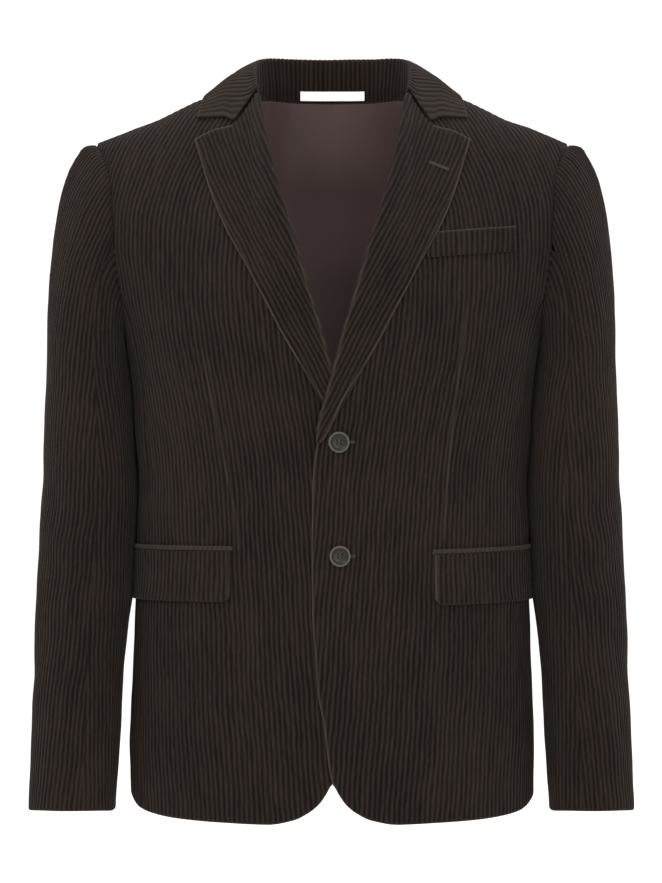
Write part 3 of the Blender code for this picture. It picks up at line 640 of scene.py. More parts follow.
def welded(points, quads, backs, tris):
    """Joins points that coincide. A face that loses a corner becomes a triangle or goes."""
    _, first, index = np.unique(np.round(points, 4), axis=0, return_index=True, return_inverse=True)
    index = first[index.reshape(-1)]
    whole, cut = [], []
    for faces in (index[quads], index[backs]):
        same = (faces == np.roll(faces, 1, axis=1)).any(axis=1)
        whole.append(faces[~same])
        left = [[v for k, v in enumerate(face) if v != face[k - 1]] for face in faces[same]]
        left = [face for face in left if len(face) == 3 and len(set(face)) == 3]
        cut.append(np.array(left, int).reshape(-1, 3))
    tris = np.concatenate([index[tris], cut[0]])
    bad = (tris == np.roll(tris, 1, axis=1)).any(axis=1)
    return *whole, tris[~bad], cut[1]


def linked(name, data):
    obj = bpy.data.objects.new(name, data)
    bpy.context.scene.collection.objects.link(obj)
    return obj


def mesh_object(name, points, parts, cloth, materials):
    """A mesh from arrays, with the cloth's own coordinates as a point attribute.

    The parts are the quads of its face and of its back, then the triangles of each.
    """
    every = np.concatenate([part.reshape(-1) for part in parts])
    used, index = np.unique(every, return_inverse=True)
    sizes = [len(part) for part in parts]
    corners = np.repeat([4, 4, 3, 3], sizes)
    mesh = bpy.data.meshes.new(name)
    mesh.vertices.add(len(used))
    mesh.vertices.foreach_set("co", (points[used] * MM).astype(np.float32).reshape(-1))
    mesh.loops.add(len(index))
    mesh.loops.foreach_set("vertex_index", index.astype(np.int32).reshape(-1))
    mesh.polygons.add(len(corners))
    mesh.polygons.foreach_set("loop_start", (np.cumsum(corners) - corners).astype(np.int32))
    for material in materials:
        mesh.materials.append(material)
    if len(materials) > 1:
        kinds = np.repeat([0, 1, 0, 1], sizes).astype(np.int32)
        mesh.polygons.foreach_set("material_index", kinds)
    mesh.update(calc_edges=True)
    mesh.validate()
    mesh.shade_smooth()
    mesh.set_sharp_from_angle(angle=math.radians(76))
    # The second attribute is the painted highlight along edges, folds and seams.
    for attribute, kind, field, values in (
        ("cloth", "FLOAT_VECTOR", "vector", cloth[used, :3]),
        ("worn", "FLOAT", "value", cloth[used, 3]),
    ):
        layer = mesh.attributes.new(attribute, kind, "POINT")
        layer.data.foreach_set(field, values.astype(np.float32).reshape(-1))
    return linked(name, mesh)


def wander(c, v, seed):
    """How far the wales stray from their even places, in wales."""
    slow = 0.09 * np.sin(0.052 * v + 0.043 * c + seed)
    slow = slow + 0.06 * np.sin(0.131 * v - 0.083 * c + 2 * seed)
    quick = np.sin(0.19 * v + 0.83 * c + 3 * seed) * np.sin(0.043 * v - 0.11 * c + seed)
    return slow + 0.05 * quick


def woven(node, side, form, cuts, grid, count, orient, materials, bunch=2.5, top=None,
          back_deep=BACK_DEEP, seed=0.0, pitch=PITCH, step=0.5, ribbed=True, ends=ROW_ENDS):
    """Builds one cut piece. Columns follow the wales, and rows go from its lower to its upper end.

    form has the surface by wale place (mm across the wales) and height, the depth within the piece,
    and the relief: how far the face stands off the form and how much painted highlight it takes.
    cuts has the heights to split the piece at and the wale places of its corners.
    """
    surface, inside, relief = form
    splits, corners = cuts
    grid = np.union1d(grid, splits)
    knots = whole_wales([corner / pitch for corner in corners])
    wales, places = subdivide(knots)
    c = wales * pitch
    nudge = np.clip(c, c[0] + 0.02, c[-1] - 0.02)
    edges = [grid[0], *splits, grid[-1]]
    blocks, starts = [], []
    for k, (a, b) in enumerate(zip(edges, edges[1:], strict=False)):
        heights = grid[(grid >= a) & (grid <= b)]
        low, high = crossings(inside, c, heights)
        if np.isnan(low[[0, -1]]).any():
            low, high = (
                np.where(np.isnan(x), y, x)
                for x, y in zip((low, high), crossings(inside, nudge, heights), strict=True)
            )
        crowd = (k == 0, k == len(splits))
        rows = max(12 if any(crowd) else 4, round(count * (b - a) / (grid[-1] - grid[0])))
        ok = ~np.isnan(low)
        filled = np.zeros((rows, len(c)))
        filled[:, ok] = rows_of(
            surface, c[ok], low[ok], high[ok], rows, *crowd, bunch if crowd[1] else 0, ends)
        columns = np.arange(len(c))
        for column in np.flatnonzero(~ok):  # an absent column borrows its neighbour's rows
            near = columns[ok][np.argmin(np.abs(columns[ok] - column))]
            filled[:, column] = filled[:, near]
        blocks.append((filled, ok))
        if k:
            starts.append(sum(len(block[0]) for block in blocks[:-1]))
    v = np.concatenate([block[0] for block in blocks])
    rows = len(v)
    cell = np.zeros((rows - 1, len(knots) - 1), bool)
    spans = [slice(a, b + 1) for a, b in zip(places, places[1:], strict=False)]
    row = 0
    for filled, ok in blocks:
        cell[row : row + len(filled) - 1] = [ok[span].all() for span in spans]
        row += len(filled)
    outer = np.arange(rows * len(c)).reshape(rows, len(c))
    inner = rows * len(c) + np.arange(rows * len(knots)).reshape(rows, len(knots))
    joined = []
    for k, start in enumerate(starts):
        same = (np.abs(v[start - 1] - v[start]) < 1e-6) & blocks[k][1] & blocks[k + 1][1]
        outer[start, same] = outer[start - 1, same]
        inner[start, same[places]] = inner[start - 1, same[places]]
        joined.append([bool(same[span].all()) for span in spans])
    cc = c + 0 * v
    base = surface(cc, v)
    limit = top(cc, v) if top else np.full(v.shape, FAR)
    normal = normal_of(surface, cc, np.minimum(v, limit - 2 * step), step, step) * orient
    place = cc / pitch + (wander(cc, v, seed) if ribbed else 0)
    out, worn = relief(cc, v, base, wale_ridge(place) if ribbed else 0 * cc)
    face = base + normal * out[..., None]
    rear = (base - normal * back_deep)[:, places]
    points = np.concatenate([face.reshape(-1, 3), rear.reshape(-1, 3)])
    faces = welded(points, *shell_faces(outer, inner, cell, joined, places, starts))
    # The fourth value is the painted highlight.
    cloth = np.stack([place, v * MM, np.full(v.shape, seed), worn + 0 * v], axis=-1)
    cloth = np.concatenate([cloth.reshape(-1, 4), cloth[:, places].reshape(-1, 4)])
    if side < 0:
        points = points * np.array([-1, 1, 1])
    if (side < 0) != (orient < 0):
        faces = [part[:, ::-1] for part in faces]
    return mesh_object(f"{node}_cloth", points, faces, cloth, materials)


def pairs(materials, **makers):
    """Pieces for both sides, by the functions that make them."""
    return {
        f"{node}_{name}": make(f"{node}_{name}", side, materials)
        for side, name in ((1, "left"), (-1, "right")) for node, make in makers.items()
    }


# ---------------------------------------------------------------- body panels
@functools.cache
def arc_table(back):
    """Body angle by height and by the length round the body from its middle line."""
    levels = np.concatenate([np.arange(-702, -60, 3.0), np.arange(-60, 14, 1.0)])
    turns = np.radians(np.linspace(0, 89, 260))
    if back:
        turns = math.pi - turns
    places = ARC_STEP * np.arange(ARC_COLUMNS)
    return levels, np.array([np.interp(places, lengths(body(turns, z)), turns) for z in levels])


def level_row(z, levels):
    return np.interp(z, levels, np.arange(len(levels)))


def turn_by_arc(s, z, back):
    levels, rows = arc_table(back)
    turn = sample(rows, level_row(z, levels), np.abs(s) / ARC_STEP)
    if back:
        return np.where(s < 0, 2 * math.pi - turn, turn)
    return np.where(s < 0, -turn, turn)


def arc_by_turn(turn, z, back):
    """Length round the body to an angle, at a height."""
    levels, rows = arc_table(back)
    columns = np.arange(float(ARC_COLUMNS))
    found = []
    for t, height in zip(np.atleast_1d(turn), np.atleast_1d(z), strict=True):
        row = sample(rows, level_row(height, levels) + 0 * columns, columns)
        if back:
            found.append(np.interp(math.pi - t, math.pi - row, columns * ARC_STEP))
        else:
            found.append(np.interp(abs(t), row, columns * ARC_STEP) * np.sign(t))
    return np.array(found)


def leaned(table, z):
    """How far wales that lean by a table have moved sideways, up from the lowest height."""
    rate = np.tan(np.radians(track(table, z)))
    return np.concatenate([[0], np.cumsum((rate[1:] + rate[:-1]) / 2)])


class Panel:
    """A piece whose sides and wales are given by height, at its levels."""

    def at(self, values, z):
        return np.interp(z, self.levels, values)

    def past(self, values, place, z, steepest=np.inf):
        """Distance of a place from a line given by height."""
        slope = np.clip(self.at(np.gradient(values, self.levels), z), -steepest, steepest)
        return (place - self.at(values, z)) / np.sqrt(1 + slope**2)


class BodyPanel(Panel):
    """A front or back half: where its wales run and where it ends."""

    def __init__(self, back, under=False):
        self.back, self.under = back, under
        self.levels = z = np.concatenate([np.arange(-700, -60, 1.5), np.arange(-60, 12.01, 0.5)])
        end = "aft" if back else "fore"
        meeting = meeting_height(end)
        self.tuck = TUCK_UNDER * smooth(meeting - 1, meeting + 1.5, z)
        self.out_arc = arc_by_turn(outer_bound(z, end), z, back) + self.tuck
        if back:
            self.in_arc, self.shift = 0 * z - OVERLAP, 0 * z
        else:
            self.in_arc = arc_by_turn(angle_at(track(EDGE, z), z), z, False)
            heights = np.arange(-702, 16, 1.0)
            shift = leaned(FRONT_LEAN, heights)
            self.shift = np.interp(z, heights, shift - np.interp(-365.0, heights, shift))
        self.draw = track(BACK_DRAW if back else FRONT_DRAW, z)
        self.low_c = (self.in_arc - self.shift) / self.draw
        self.high_c = (self.out_arc - self.shift) / self.draw

    def arc(self, c, z):
        return c * self.at(self.draw, z) + self.at(self.shift, z)

    def surface(self, c, z):
        points = body(turn_by_arc(self.arc(c, z), z, self.back), z)
        if self.under:
            points[..., 1] += push(points[..., 0], z)
        return points

    def top(self, c, z):
        x = np.abs(self.surface(c, z)[..., 0])
        return neck_or_ridge(x) if self.back else track(RIDGE, np.maximum(x, NECK_X))

    def hem(self, c, z):
        return hem_height(turn_by_arc(self.arc(c, z), z, self.back))

    def hem_away(self, c, z):
        height = self.hem(c, z)
        slope = self.hem(c + 1, z) - height
        return (z - height) / np.sqrt(1 + slope**2)

    def in_away(self, c, z):
        return self.past(self.in_arc, self.arc(c, z), z)

    def out_away(self, c, z):
        return -self.past(self.out_arc, self.arc(c, z), z, 3)

    def seam_away(self, c, z):
        """Distance from the outer seam itself, without what is tucked under the sleeve."""
        return self.out_away(c, z) - self.at(self.tuck, z)

    def inside(self, c, z):
        depth = np.minimum(self.in_away(c, z) + (0.001 if self.back else 0), self.out_away(c, z))
        return nearest(depth, self.hem_away(c, z), self.top(c, z) - z)

    def top_away(self, c, z, base):
        """Distance from the seam along the shoulder, or from the neck."""
        x = np.abs(base[..., 0])
        ridge = np.abs(base[..., 1] - RIDGE_Y + RIDGE_LEAN * x)
        return np.where((x < NECK_X) & self.back, self.top(c, z) - z, ridge)

    def cuts(self):
        z = self.levels
        kept = z[self.inside(self.high_c - 0.4, z) > 0]
        part = (z >= kept[0]) & (z <= kept[-1])
        splits, corners = narrowings(z[part], self.low_c[part], self.high_c[part])
        corners.append(float(self.low_c[(z > kept[0]) & (z < 8)].min()) + 0.02)
        return splits, corners

    def woven(self, node, side, relief, orient, materials, seed):
        return woven(
            node, side, (self.surface, self.inside, relief), self.cuts(), self.levels, 98, orient,
            materials, top=self.top, seed=seed, step=0.05)


def neck_or_ridge(x):
    """Upper end of the back at a distance from its middle."""
    return np.where(x < NECK_X, track(NAPE, x), track(RIDGE, np.maximum(x, NECK_X)))


@functools.cache
def back_panel():
    return BodyPanel(True)


def sunk(total, seam):
    """What runs on past a seam lies deep within the wall of its neighbour."""
    over = smooth(-0.6, 0.1, seam)
    return np.clip(total, -1.45, None) * over - 1.6 * (1 - over)


DARTS = {
    -1: ((123, -246.5), (112, -300), (101, -355), (90, -407), (88, -432)),
    1: ((126, -199), (119, -260), (112, -320), (107, -372), (103.5, -423)),
}


def make_front(node, side, materials):
    panel = BodyPanel(False, under=side < 0)
    free_below = LAPEL_FOOT + 4  # above it the facing covers the edge

    def relief(c, z, base, ridge):
        x = base[..., 0]
        edge, hem, out = panel.in_away(c, z), panel.hem_away(c, z), panel.seam_away(c, z)
        over = panel.top_away(c, z, base)
        free = np.where(z < free_below, np.minimum(edge, hem), hem)
        flat = 1 - 0.55 * bell(np.minimum(out, over), 2.5) - 0.3 * bell(np.minimum(free, 9), 3.0)
        total = ridge * flat + drift(base, 1.7 if side > 0 else 4.1)
        total += seam_dip(out) + edge_roll(free) + seam_dip(over, 0.7)
        total += 0.35 * bell(free - 6.5, 3.0) - 0.3 * bell(free - 10.5, 1.2)
        total = creased(total, FRONT_CREASES, side, x, z)
        dart, place = line_away(x, z, DARTS[side])
        total -= (0.75 * bell(dart, 1.3) - 0.45 * bell(dart - 3.0, 1.6)) * smooth(0, 0.12, place)
        if side > 0:  # the pulled cloth round the fastened button
            for bx, bz in BUTTONS.values():
                total -= 0.8 * bell(np.hypot(x - bx, z - bz), 11.0)
        # Painted highlight along the front edge below the lapel, stronger on the left front, along
        # the hem and along the darts.
        low = np.where(z < free_below, edge, FAR)
        worn = highlight_line(low) * (0.75 if side > 0 else 0.3) + 0.25 * highlight_line(hem)
        worn += 0.4 * highlight_line(dart, 0.0, 0.9) * smooth(0, 0.12, place)
        return sunk(total, out), worn

    return panel.woven(node, side, relief, 1, materials, side * 1.5)


def make_back(node, side, materials):
    panel = back_panel()

    def relief(c, z, base, ridge):
        hem, out = panel.hem_away(c, z), panel.seam_away(c, z)
        middle = panel.in_away(c, z) - OVERLAP
        over = panel.top_away(c, z, base)
        total = ridge * (1 - 0.55 * bell(nearest(out, over, middle), 2.5))
        total += drift(base, 6.2 if side > 0 else 2.9)
        total += seam_dip(out) + seam_dip(middle) + edge_roll(hem) + seam_dip(over, 0.7)
        total = creased(total, BACK_CREASES, side, np.abs(base[..., 0]), z)
        # The second value is a painted highlight along the hem.
        return sunk(total, np.minimum(out, middle + 0.3)), 0.25 * highlight_line(hem)

    return panel.woven(node, side, relief, -1, materials, side * 2.5)


SIDE_CREASES = (  # place front to back, the heights it runs between, width, height
    (-20, -300, -372, 14, 1.6), (30, -318, -360, 12, 1.4),
    (8, -520, -650, 15, 1.4), (-34, -470, -600, 12, -1.2),
)


@functools.cache
def side_lines():
    """Angles across a side body, the length to each at the pockets, and where each one ends."""
    past = OVERLAP / 3.5  # degrees
    turns = np.radians(np.linspace(SEAM["fore"] - past, SEAM["aft"] + past, 60))
    heads = []
    for turn in turns:
        table = ring_table("fore" if turn < math.pi / 2 else "aft")
        lower = slice(0, 1 + int(np.argmax(np.abs(table["turn"] - math.pi / 2))))
        order = np.argsort(table["turn"][lower])
        heads.append(float(np.interp(turn, table["turn"][lower][order], table["z"][lower][order])))
    return turns, lengths(body(turns, -440.0)), np.array(heads)


def make_side(node, side, materials):
    """A side body: wales at a constant angle between the two seams."""
    turns, arc, heads = side_lines()

    def surface(c, z):
        return body(np.interp(c, arc, turns), z)

    def ends(c, z):
        return z - hem_height(np.interp(c, arc, turns)), np.interp(c, arc, heads) - z

    def inside(c, z):
        hem, head = ends(c, z)
        return np.minimum(hem, head + TUCK_UNDER)

    def relief(c, z, base, ridge):
        across = np.minimum(c, arc[-1] - c) - OVERLAP
        hem, head = ends(c, z)
        total = ridge * (1 - 0.55 * bell(across, 2.5)) + drift(base, 3.3 + side)
        total += seam_dip(across) + edge_roll(hem)
        total += seam_dip(head) * 0.4 + 0.5 * smooth(-300, -260, z)
        for y, z0, z1, wide, high in SIDE_CREASES:
            total += crease(base[..., 1], z, ((y, z0), (y + 14 * side, z1)), wide, high)
        # The second value is a painted highlight along the hem.
        return sunk(total, np.minimum(across + 0.2, head)), 0.25 * highlight_line(hem)

    return woven(
        node, side, (surface, inside, relief), ([], [0.0, float(arc[-1])]),
        np.arange(-700, -150, 1.0), 76, 1, materials, bunch=0, seed=side * 3.5)


# ---------------------------------------------------------------- sleeves
class TopSleeve(Panel):
    """Sections of the top sleeve by height. Wales keep their distance from its outer line."""

    def __init__(self, side):
        angles = TOP_ANGLES
        middle = int(np.argmin(np.abs(angles)))
        cap = cap_curves(angles, side, 90)
        share = np.linspace(0, 1, SECTION + 1)
        crown_z = float(cap[-1, middle, 2])
        crown = np.concatenate(
            [np.linspace(-70, crown_z - 1, 48), crown_z - np.geomspace(0.8, 0.03, 12)])
        self.levels = np.concatenate(
            [np.arange(CUFF, BICEPS - 1, 4.0), np.arange(BICEPS, -70, 3.0), crown])
        rows, sides = [], []
        for z in self.levels:
            if z < BICEPS:
                line, at_zero = sleeve_section(angles, z + 0 * angles, side), middle
            else:
                kept = np.flatnonzero(cap[-1, :, 2] > z)
                line = [
                    np.array([np.interp(z, cap[:, k, 2], cap[:, k, axis]) for axis in range(3)])
                    for k in kept
                ]
                at_zero = int(np.flatnonzero(kept == middle)[0])
                if kept[0] > 0:
                    line.insert(0, self.ring_point(cap[-1], kept[0] - 1, kept[0], z))
                    at_zero += 1
                if kept[-1] < len(angles) - 1:
                    line.append(self.ring_point(cap[-1], kept[-1] + 1, kept[-1], z))
            line = np.array(line)
            arc = lengths(line)
            arc -= arc[at_zero]
            rows.append(walked(line, arc, arc[0] + (arc[-1] - arc[0]) * share))
            sides.append((arc[0], arc[-1]))
        self.rows = np.array(rows)
        self.low, self.high = np.array(sides).T
        self.twist = SLEEVE_TWIST * (np.minimum(self.levels, -140.0) - BICEPS)
        self.grid = np.concatenate([np.arange(CUFF, -70.5, 1.5), crown])

    @staticmethod
    def ring_point(seam, gone, kept, z):
        """Where the armhole seam passes a height, between two curves."""
        a, b = seam[gone], seam[kept]
        t = np.clip((z - a[2]) / (b[2] - a[2]), 0, 1)
        return a + (b - a) * t

    def surface(self, c, z):
        z = np.clip(z, self.levels[0], self.levels[-1])
        low, high = self.at(self.low, z), self.at(self.high, z)
        share = (c + self.at(self.twist, z) - low) / np.maximum(high - low, 1e-6)
        return sample(self.rows, level_row(z, self.levels), np.clip(share, 0, 1) * SECTION)

    def inside(self, c, z):
        """Distance from the nearer of the two seams."""
        place = c + self.at(self.twist, z)
        return np.minimum(self.past(self.low, place, z, 4), -self.past(self.high, place, z, 4))

    def cuts(self):
        return narrowings(self.levels, self.low - self.twist, self.high - self.twist)


SLEEVE_CREASES = (  # on the front face: side, two ends (X, Z), width, height
    (1, (238, -205), (212, -262), 9, -1.8),
    (1, (250, -228), (222, -300), 9, 1.8),
    (1, (246, -275), (216, -330), 8, -1.6),
    (1, (238, -580), (240, -668), 11, -2.2),
    (1, (262, -590), (266, -668), 10, 1.6),
    (1, (224, -350), (214, -450), 8, 1.5),
    (1, (252, -395), (226, -430), 8, -1.3),
    (1, (258, -455), (232, -500), 9, 1.4),
    (-1, (244, -200), (214, -255), 9, -1.7),
    (-1, (255, -240), (224, -300), 9, 1.7),
    (-1, (252, -290), (222, -345), 8, -1.7),
    (-1, (222, -510), (216, -665), 9, -2.0),
    (-1, (262, -600), (258, -668), 11, 1.8),
    (-1, (256, -415), (226, -445), 8, -1.3),
    (-1, (244, -470), (236, -560), 10, 1.2),
)


def sleeve_extra(base, side):
    """Soft creases on the front face of a sleeve, and like ones behind."""
    x, y, z = np.abs(base[..., 0]), base[..., 1], base[..., 2]
    total = 0 * x
    ahead, behind = 1 - smooth(-25, 10, y), 1 - smooth(-10, 25, -y)
    for where, start, stop, width, height in SLEEVE_CREASES:
        if where == side:
            total += ahead * crease(x, z, (start, stop), width, height)
            total += behind * crease(x, z + 14, (start, stop), width * 1.2, 0.8 * height)
    return total


def level_at_tip(total, base):
    """No groove where the front seam of a sleeve runs into the armhole, as it would open a gap."""
    far = np.linalg.norm(np.abs(base) - np.array([209.0, 51.0, 157.0]), axis=-1)
    tip = (1 - smooth(5, 13, far)) * (base[..., 1] < 0)
    return total * (1 - tip) + 0.3 * tip


def make_top_sleeve(node, side, materials):
    top = TopSleeve(side)

    def relief(c, z, base, ridge):
        seam, cuff = top.inside(c, z), z - CUFF
        flat = 1 - 0.5 * bell(seam, 2.5) - 0.3 * bell(cuff, 3.0)
        total = ridge * flat + drift(base, 7.7 + side) + seam_dip(seam) + edge_roll(cuff)
        total += sleeve_extra(base, side)
        head = 0.8 * smooth(-190, -110, z) + 0.9 * smooth(-90, -58, z)
        total += head * bell(seam - 6.5, 5.0)  # the sleeve head stands up
        # The second value is a painted highlight along the cuff.
        return level_at_tip(np.maximum(total, -1.4), base), 0.3 * highlight_line(cuff)

    return woven(
        node, side, (top.surface, top.inside, relief), top.cuts(), top.grid, 98, -1, materials,
        bunch=2.0, seed=side * 4.5, pitch=SLEEVE_PITCH, ends=HEAD_ENDS)


def make_under_sleeve(node, side, materials):
    """The under sleeve: wales along the tube, then along the curves up to the armhole."""
    angles = UNDER_ANGLES
    share = np.linspace(0, 1, SECTION + 1)
    rows, sides = [], []
    levels = list(np.arange(CUFF, BICEPS + 0.1, 4.0))
    for z in levels:
        line = sleeve_section(angles, z + 0 * angles, side)
        arc = lengths(line)
        arc -= np.interp(180, angles, arc)
        want = arc[0] + (arc[-1] - arc[0]) * share
        rows.append(walked(line, arc, want))
        sides.append((arc[0], arc[-1]))
    biceps_angle = np.interp(want, arc, angles)
    shift = [SLEEVE_TWIST * (z - levels[-1]) for z in levels]
    for row in cap_curves(angles, side, 24)[1:]:
        rows.append(walked(row, angles, biceps_angle))
        levels.append(levels[-1] + 4.0)
    seam_v = levels[-1]
    rows.append(rows[-1] - np.array([UNDER_RUN, 0, 0]))  # turned in behind the wall of the body
    levels.append(seam_v + UNDER_RUN)
    more = len(levels) - len(sides)
    low, high = np.array(sides + [sides[-1]] * more).T
    rows, levels, shift = np.array(rows), np.array(levels), np.array(shift + [0.0] * more)

    def away(c, v):
        place = c - np.interp(v, levels, shift)
        return place - np.interp(v, levels, low), np.interp(v, levels, high) - place

    def surface(c, v):
        v = np.clip(v, levels[0], levels[-1])
        a, b = np.interp(v, levels, low), np.interp(v, levels, high)
        place = (c - np.interp(v, levels, shift) - a) / (b - a)
        return sample(rows, level_row(v, levels), np.clip(place, 0, 1) * SECTION)

    def relief(c, v, base, ridge):
        first, second = away(c, v)
        nearer = np.minimum(first, second)
        across, cuff = nearer - 0.3, v - levels[0]
        seam = np.minimum(across, (seam_v - v) * 0.6)
        total = ridge * (1 - 0.5 * bell(seam, 2.5)) + drift(base, 9.1 + side)
        total += seam_dip(seam) + edge_roll(cuff)
        total += 0.6 * sleeve_extra(base, side) * smooth(190, 215, np.abs(base[..., 0]))
        z = base[..., 2]
        rests = 1.3 * smooth(-345, -290, z)  # it rests against the side body
        rests = rests + 2.2 * smooth(-510, -470, z) * (1 - smooth(-400, -350, z))
        total += rests * smooth(0.12, 0.36, nearer / (first + second))
        # The second value is a painted highlight along the cuff.
        return level_at_tip(sunk(total, across + 0.2), base), 0.3 * highlight_line(cuff)

    cuts = narrowings(
        levels, low + shift, high + shift, steps=(-600.0, -500.0, -420.0, -350.0, -300.0, BICEPS))
    form = (surface, lambda c, v: np.minimum(*away(c, v)), relief)
    return woven(
        node, side, form, cuts, np.linspace(levels[0], levels[-1], 500), 84, -1, materials,
        bunch=0, seed=side * 5.5, pitch=SLEEVE_PITCH)


# ---------------------------------------------------------------- collar, lapels
def bend(start, leave, arrive, end, count):
    return bezier(np.linspace(0, 1, count + 1)[1:, None], start, leave, arrive, end)


def along_collar(row, at):
    knots = np.array(COLLAR[row], float)
    stations = np.concatenate([-np.array(COLLAR["at"][1:])[::-1], COLLAR["at"]])
    points = np.concatenate([knots[1:][::-1] * np.array([-1, 1, 1]), knots])
    slopes = np.gradient(points, stations, axis=0)
    i = np.clip(np.searchsorted(stations, at) - 1, 0, len(stations) - 2)
    h = (stations[i + 1] - stations[i])[:, None]
    t = ((at - stations[i]) / h[:, 0])[:, None]
    return hermite(t, h, points[i], slopes[i], points[i + 1], slopes[i + 1])


@functools.cache
def collar_table():
    """The collar's face by station, and by place from the neck seam over the fold to its edge."""
    stations = np.linspace(-1, 1, 21)
    neck, fold, leaf = (along_collar(row, stations) for row in ("neck", "fold", "leaf"))
    fine = 5
    columns = []
    for place, root, crest, edge in zip(stations, neck, fold, leaf, strict=True):
        away = np.array([crest[0], crest[1] - 8.0, 0.0])
        away /= np.linalg.norm(away)
        round_r = 3.2 - 1.2 * smooth(0.8, 1.0, abs(place))
        inner = crest - away * round_r
        up = np.array([0, 0, 1.0])
        stand = bend(root, root + (inner - root) * 0.5, inner - up * (6.0 * round_r / 3.2),
                     inner - up * round_r, 2 * fine)
        over = bend(stand[-1], inner, crest - away * round_r * 0.5, crest, 2 * fine)
        reach = edge - crest
        fall = bend(crest, crest + away * round_r, crest + away * round_r * 2 + reach * 0.12,
                    crest + reach * 0.3 + away * 6.0, 2 * fine)
        leaf_part = bend(fall[-1], fall[-1] + reach * 0.2 + away * 0.8,
                         edge - reach * 0.22 + away * 1.0, edge, 3 * fine)
        down = (root - stand[0]) / np.linalg.norm(root - stand[0])
        low = root + down * 4.5 * (1 - smooth(0.75, 0.95, abs(place)))
        low = low + (root - low) * 0.02
        column = np.concatenate([[low], [root], stand, over, fall, leaf_part])
        if abs(place) > 0.999:  # the end: along the gorge, then to the corner
            side = np.array([math.copysign(1, place), 1, 1])
            gorge = lifted(GORGE_X, GORGE_Z, np.array(WALL + LIE + 0.4)) * side
            corner = lifted(*LEAF_CORNER, np.array(WALL + LIE)) * side
            first, last = COLLAR_CREST, len(column) - 1
            start = column[first].copy()
            for step in range(first + 1, last + 1):
                share = (step - first) / (last - first)
                if share < 0.43:
                    column[step] = start + (gorge - start) * min(share / 0.43, 1.0)
                else:
                    column[step] = gorge + (corner - gorge) * max((share - 0.43) / 0.57, 0.0)
        columns.append(column)
    return np.array(columns)


def make_collar(materials):
    table = collar_table()
    last = table.shape[1] - 1
    place = np.linspace(0, 20, 401)

    def at(station, row):
        return sample(table, station + np.zeros(1), row + np.zeros(1))[0]

    arc = lengths(np.array([at(i, COLLAR_CREST) for i in place]))
    arc -= arc[len(arc) // 2]
    skew = 24.0  # how far the wales of the leaf swing round toward level, at its ends
    leaf_rows = np.arange(COLLAR_CREST, last + 1)
    down = lengths(np.array([at(18.0, row) for row in leaf_rows]))
    down /= down[-1]

    def station(c, v):
        swing = skew * smooth(60, 190, np.abs(c)) * np.sign(c)
        share = np.interp(v, leaf_rows, down)
        level = smooth(110, 180, np.abs(c))  # at the ends most of the swing is done by the gorge
        early = np.sin(np.pi / 2 * np.minimum(share / 0.62, 1))
        return c - swing * (share + (early - share) * level)

    def surface(c, v):
        return sample(table, np.interp(station(c, v), arc, place), np.clip(v, 0, last))

    def end_away(c, v):
        return arc[-1] - np.abs(station(c, v))

    def relief(c, v, base, ridge):
        leaf = (last - v) * 3.0
        seam = end_away(c, v)
        tip = smooth(34, 37, v)
        flat = (1 - 0.35 * smooth(30, 42, v)) * (0.5 + 0.5 * smooth(15, 24, v))
        total = ridge * flat + 0.5 * drift(base, 11.0)
        total += edge_roll(leaf, 1.1, 2.6) + seam_dip((v - 1) * 3.0, 0.8, 2.4)
        total += np.where(tip > 0.5, edge_roll(seam, 1.0, 2.4), seam_dip(seam, 0.9, 2.2))
        # Painted highlight along the leaf's edge and along the end near the tip, and over the whole
        # leaf, painted lighter as it faces the light from above.
        worn = 0.5 * highlight_line(leaf) + 0.4 * tip * highlight_line(seam)
        return np.maximum(total, -1.3), worn + 0.16 * smooth(COLLAR_CREST, COLLAR_CREST + 6, v)

    limit = float(arc[-1]) - 0.02
    cuts = ([], [-limit - skew, -limit, limit, limit + skew])
    return woven(
        "collar", 1, (surface, end_away, relief), cuts, np.linspace(0, last, 240), 50, 1, materials,
        bunch=0, back_deep=1.7, seed=7.5)


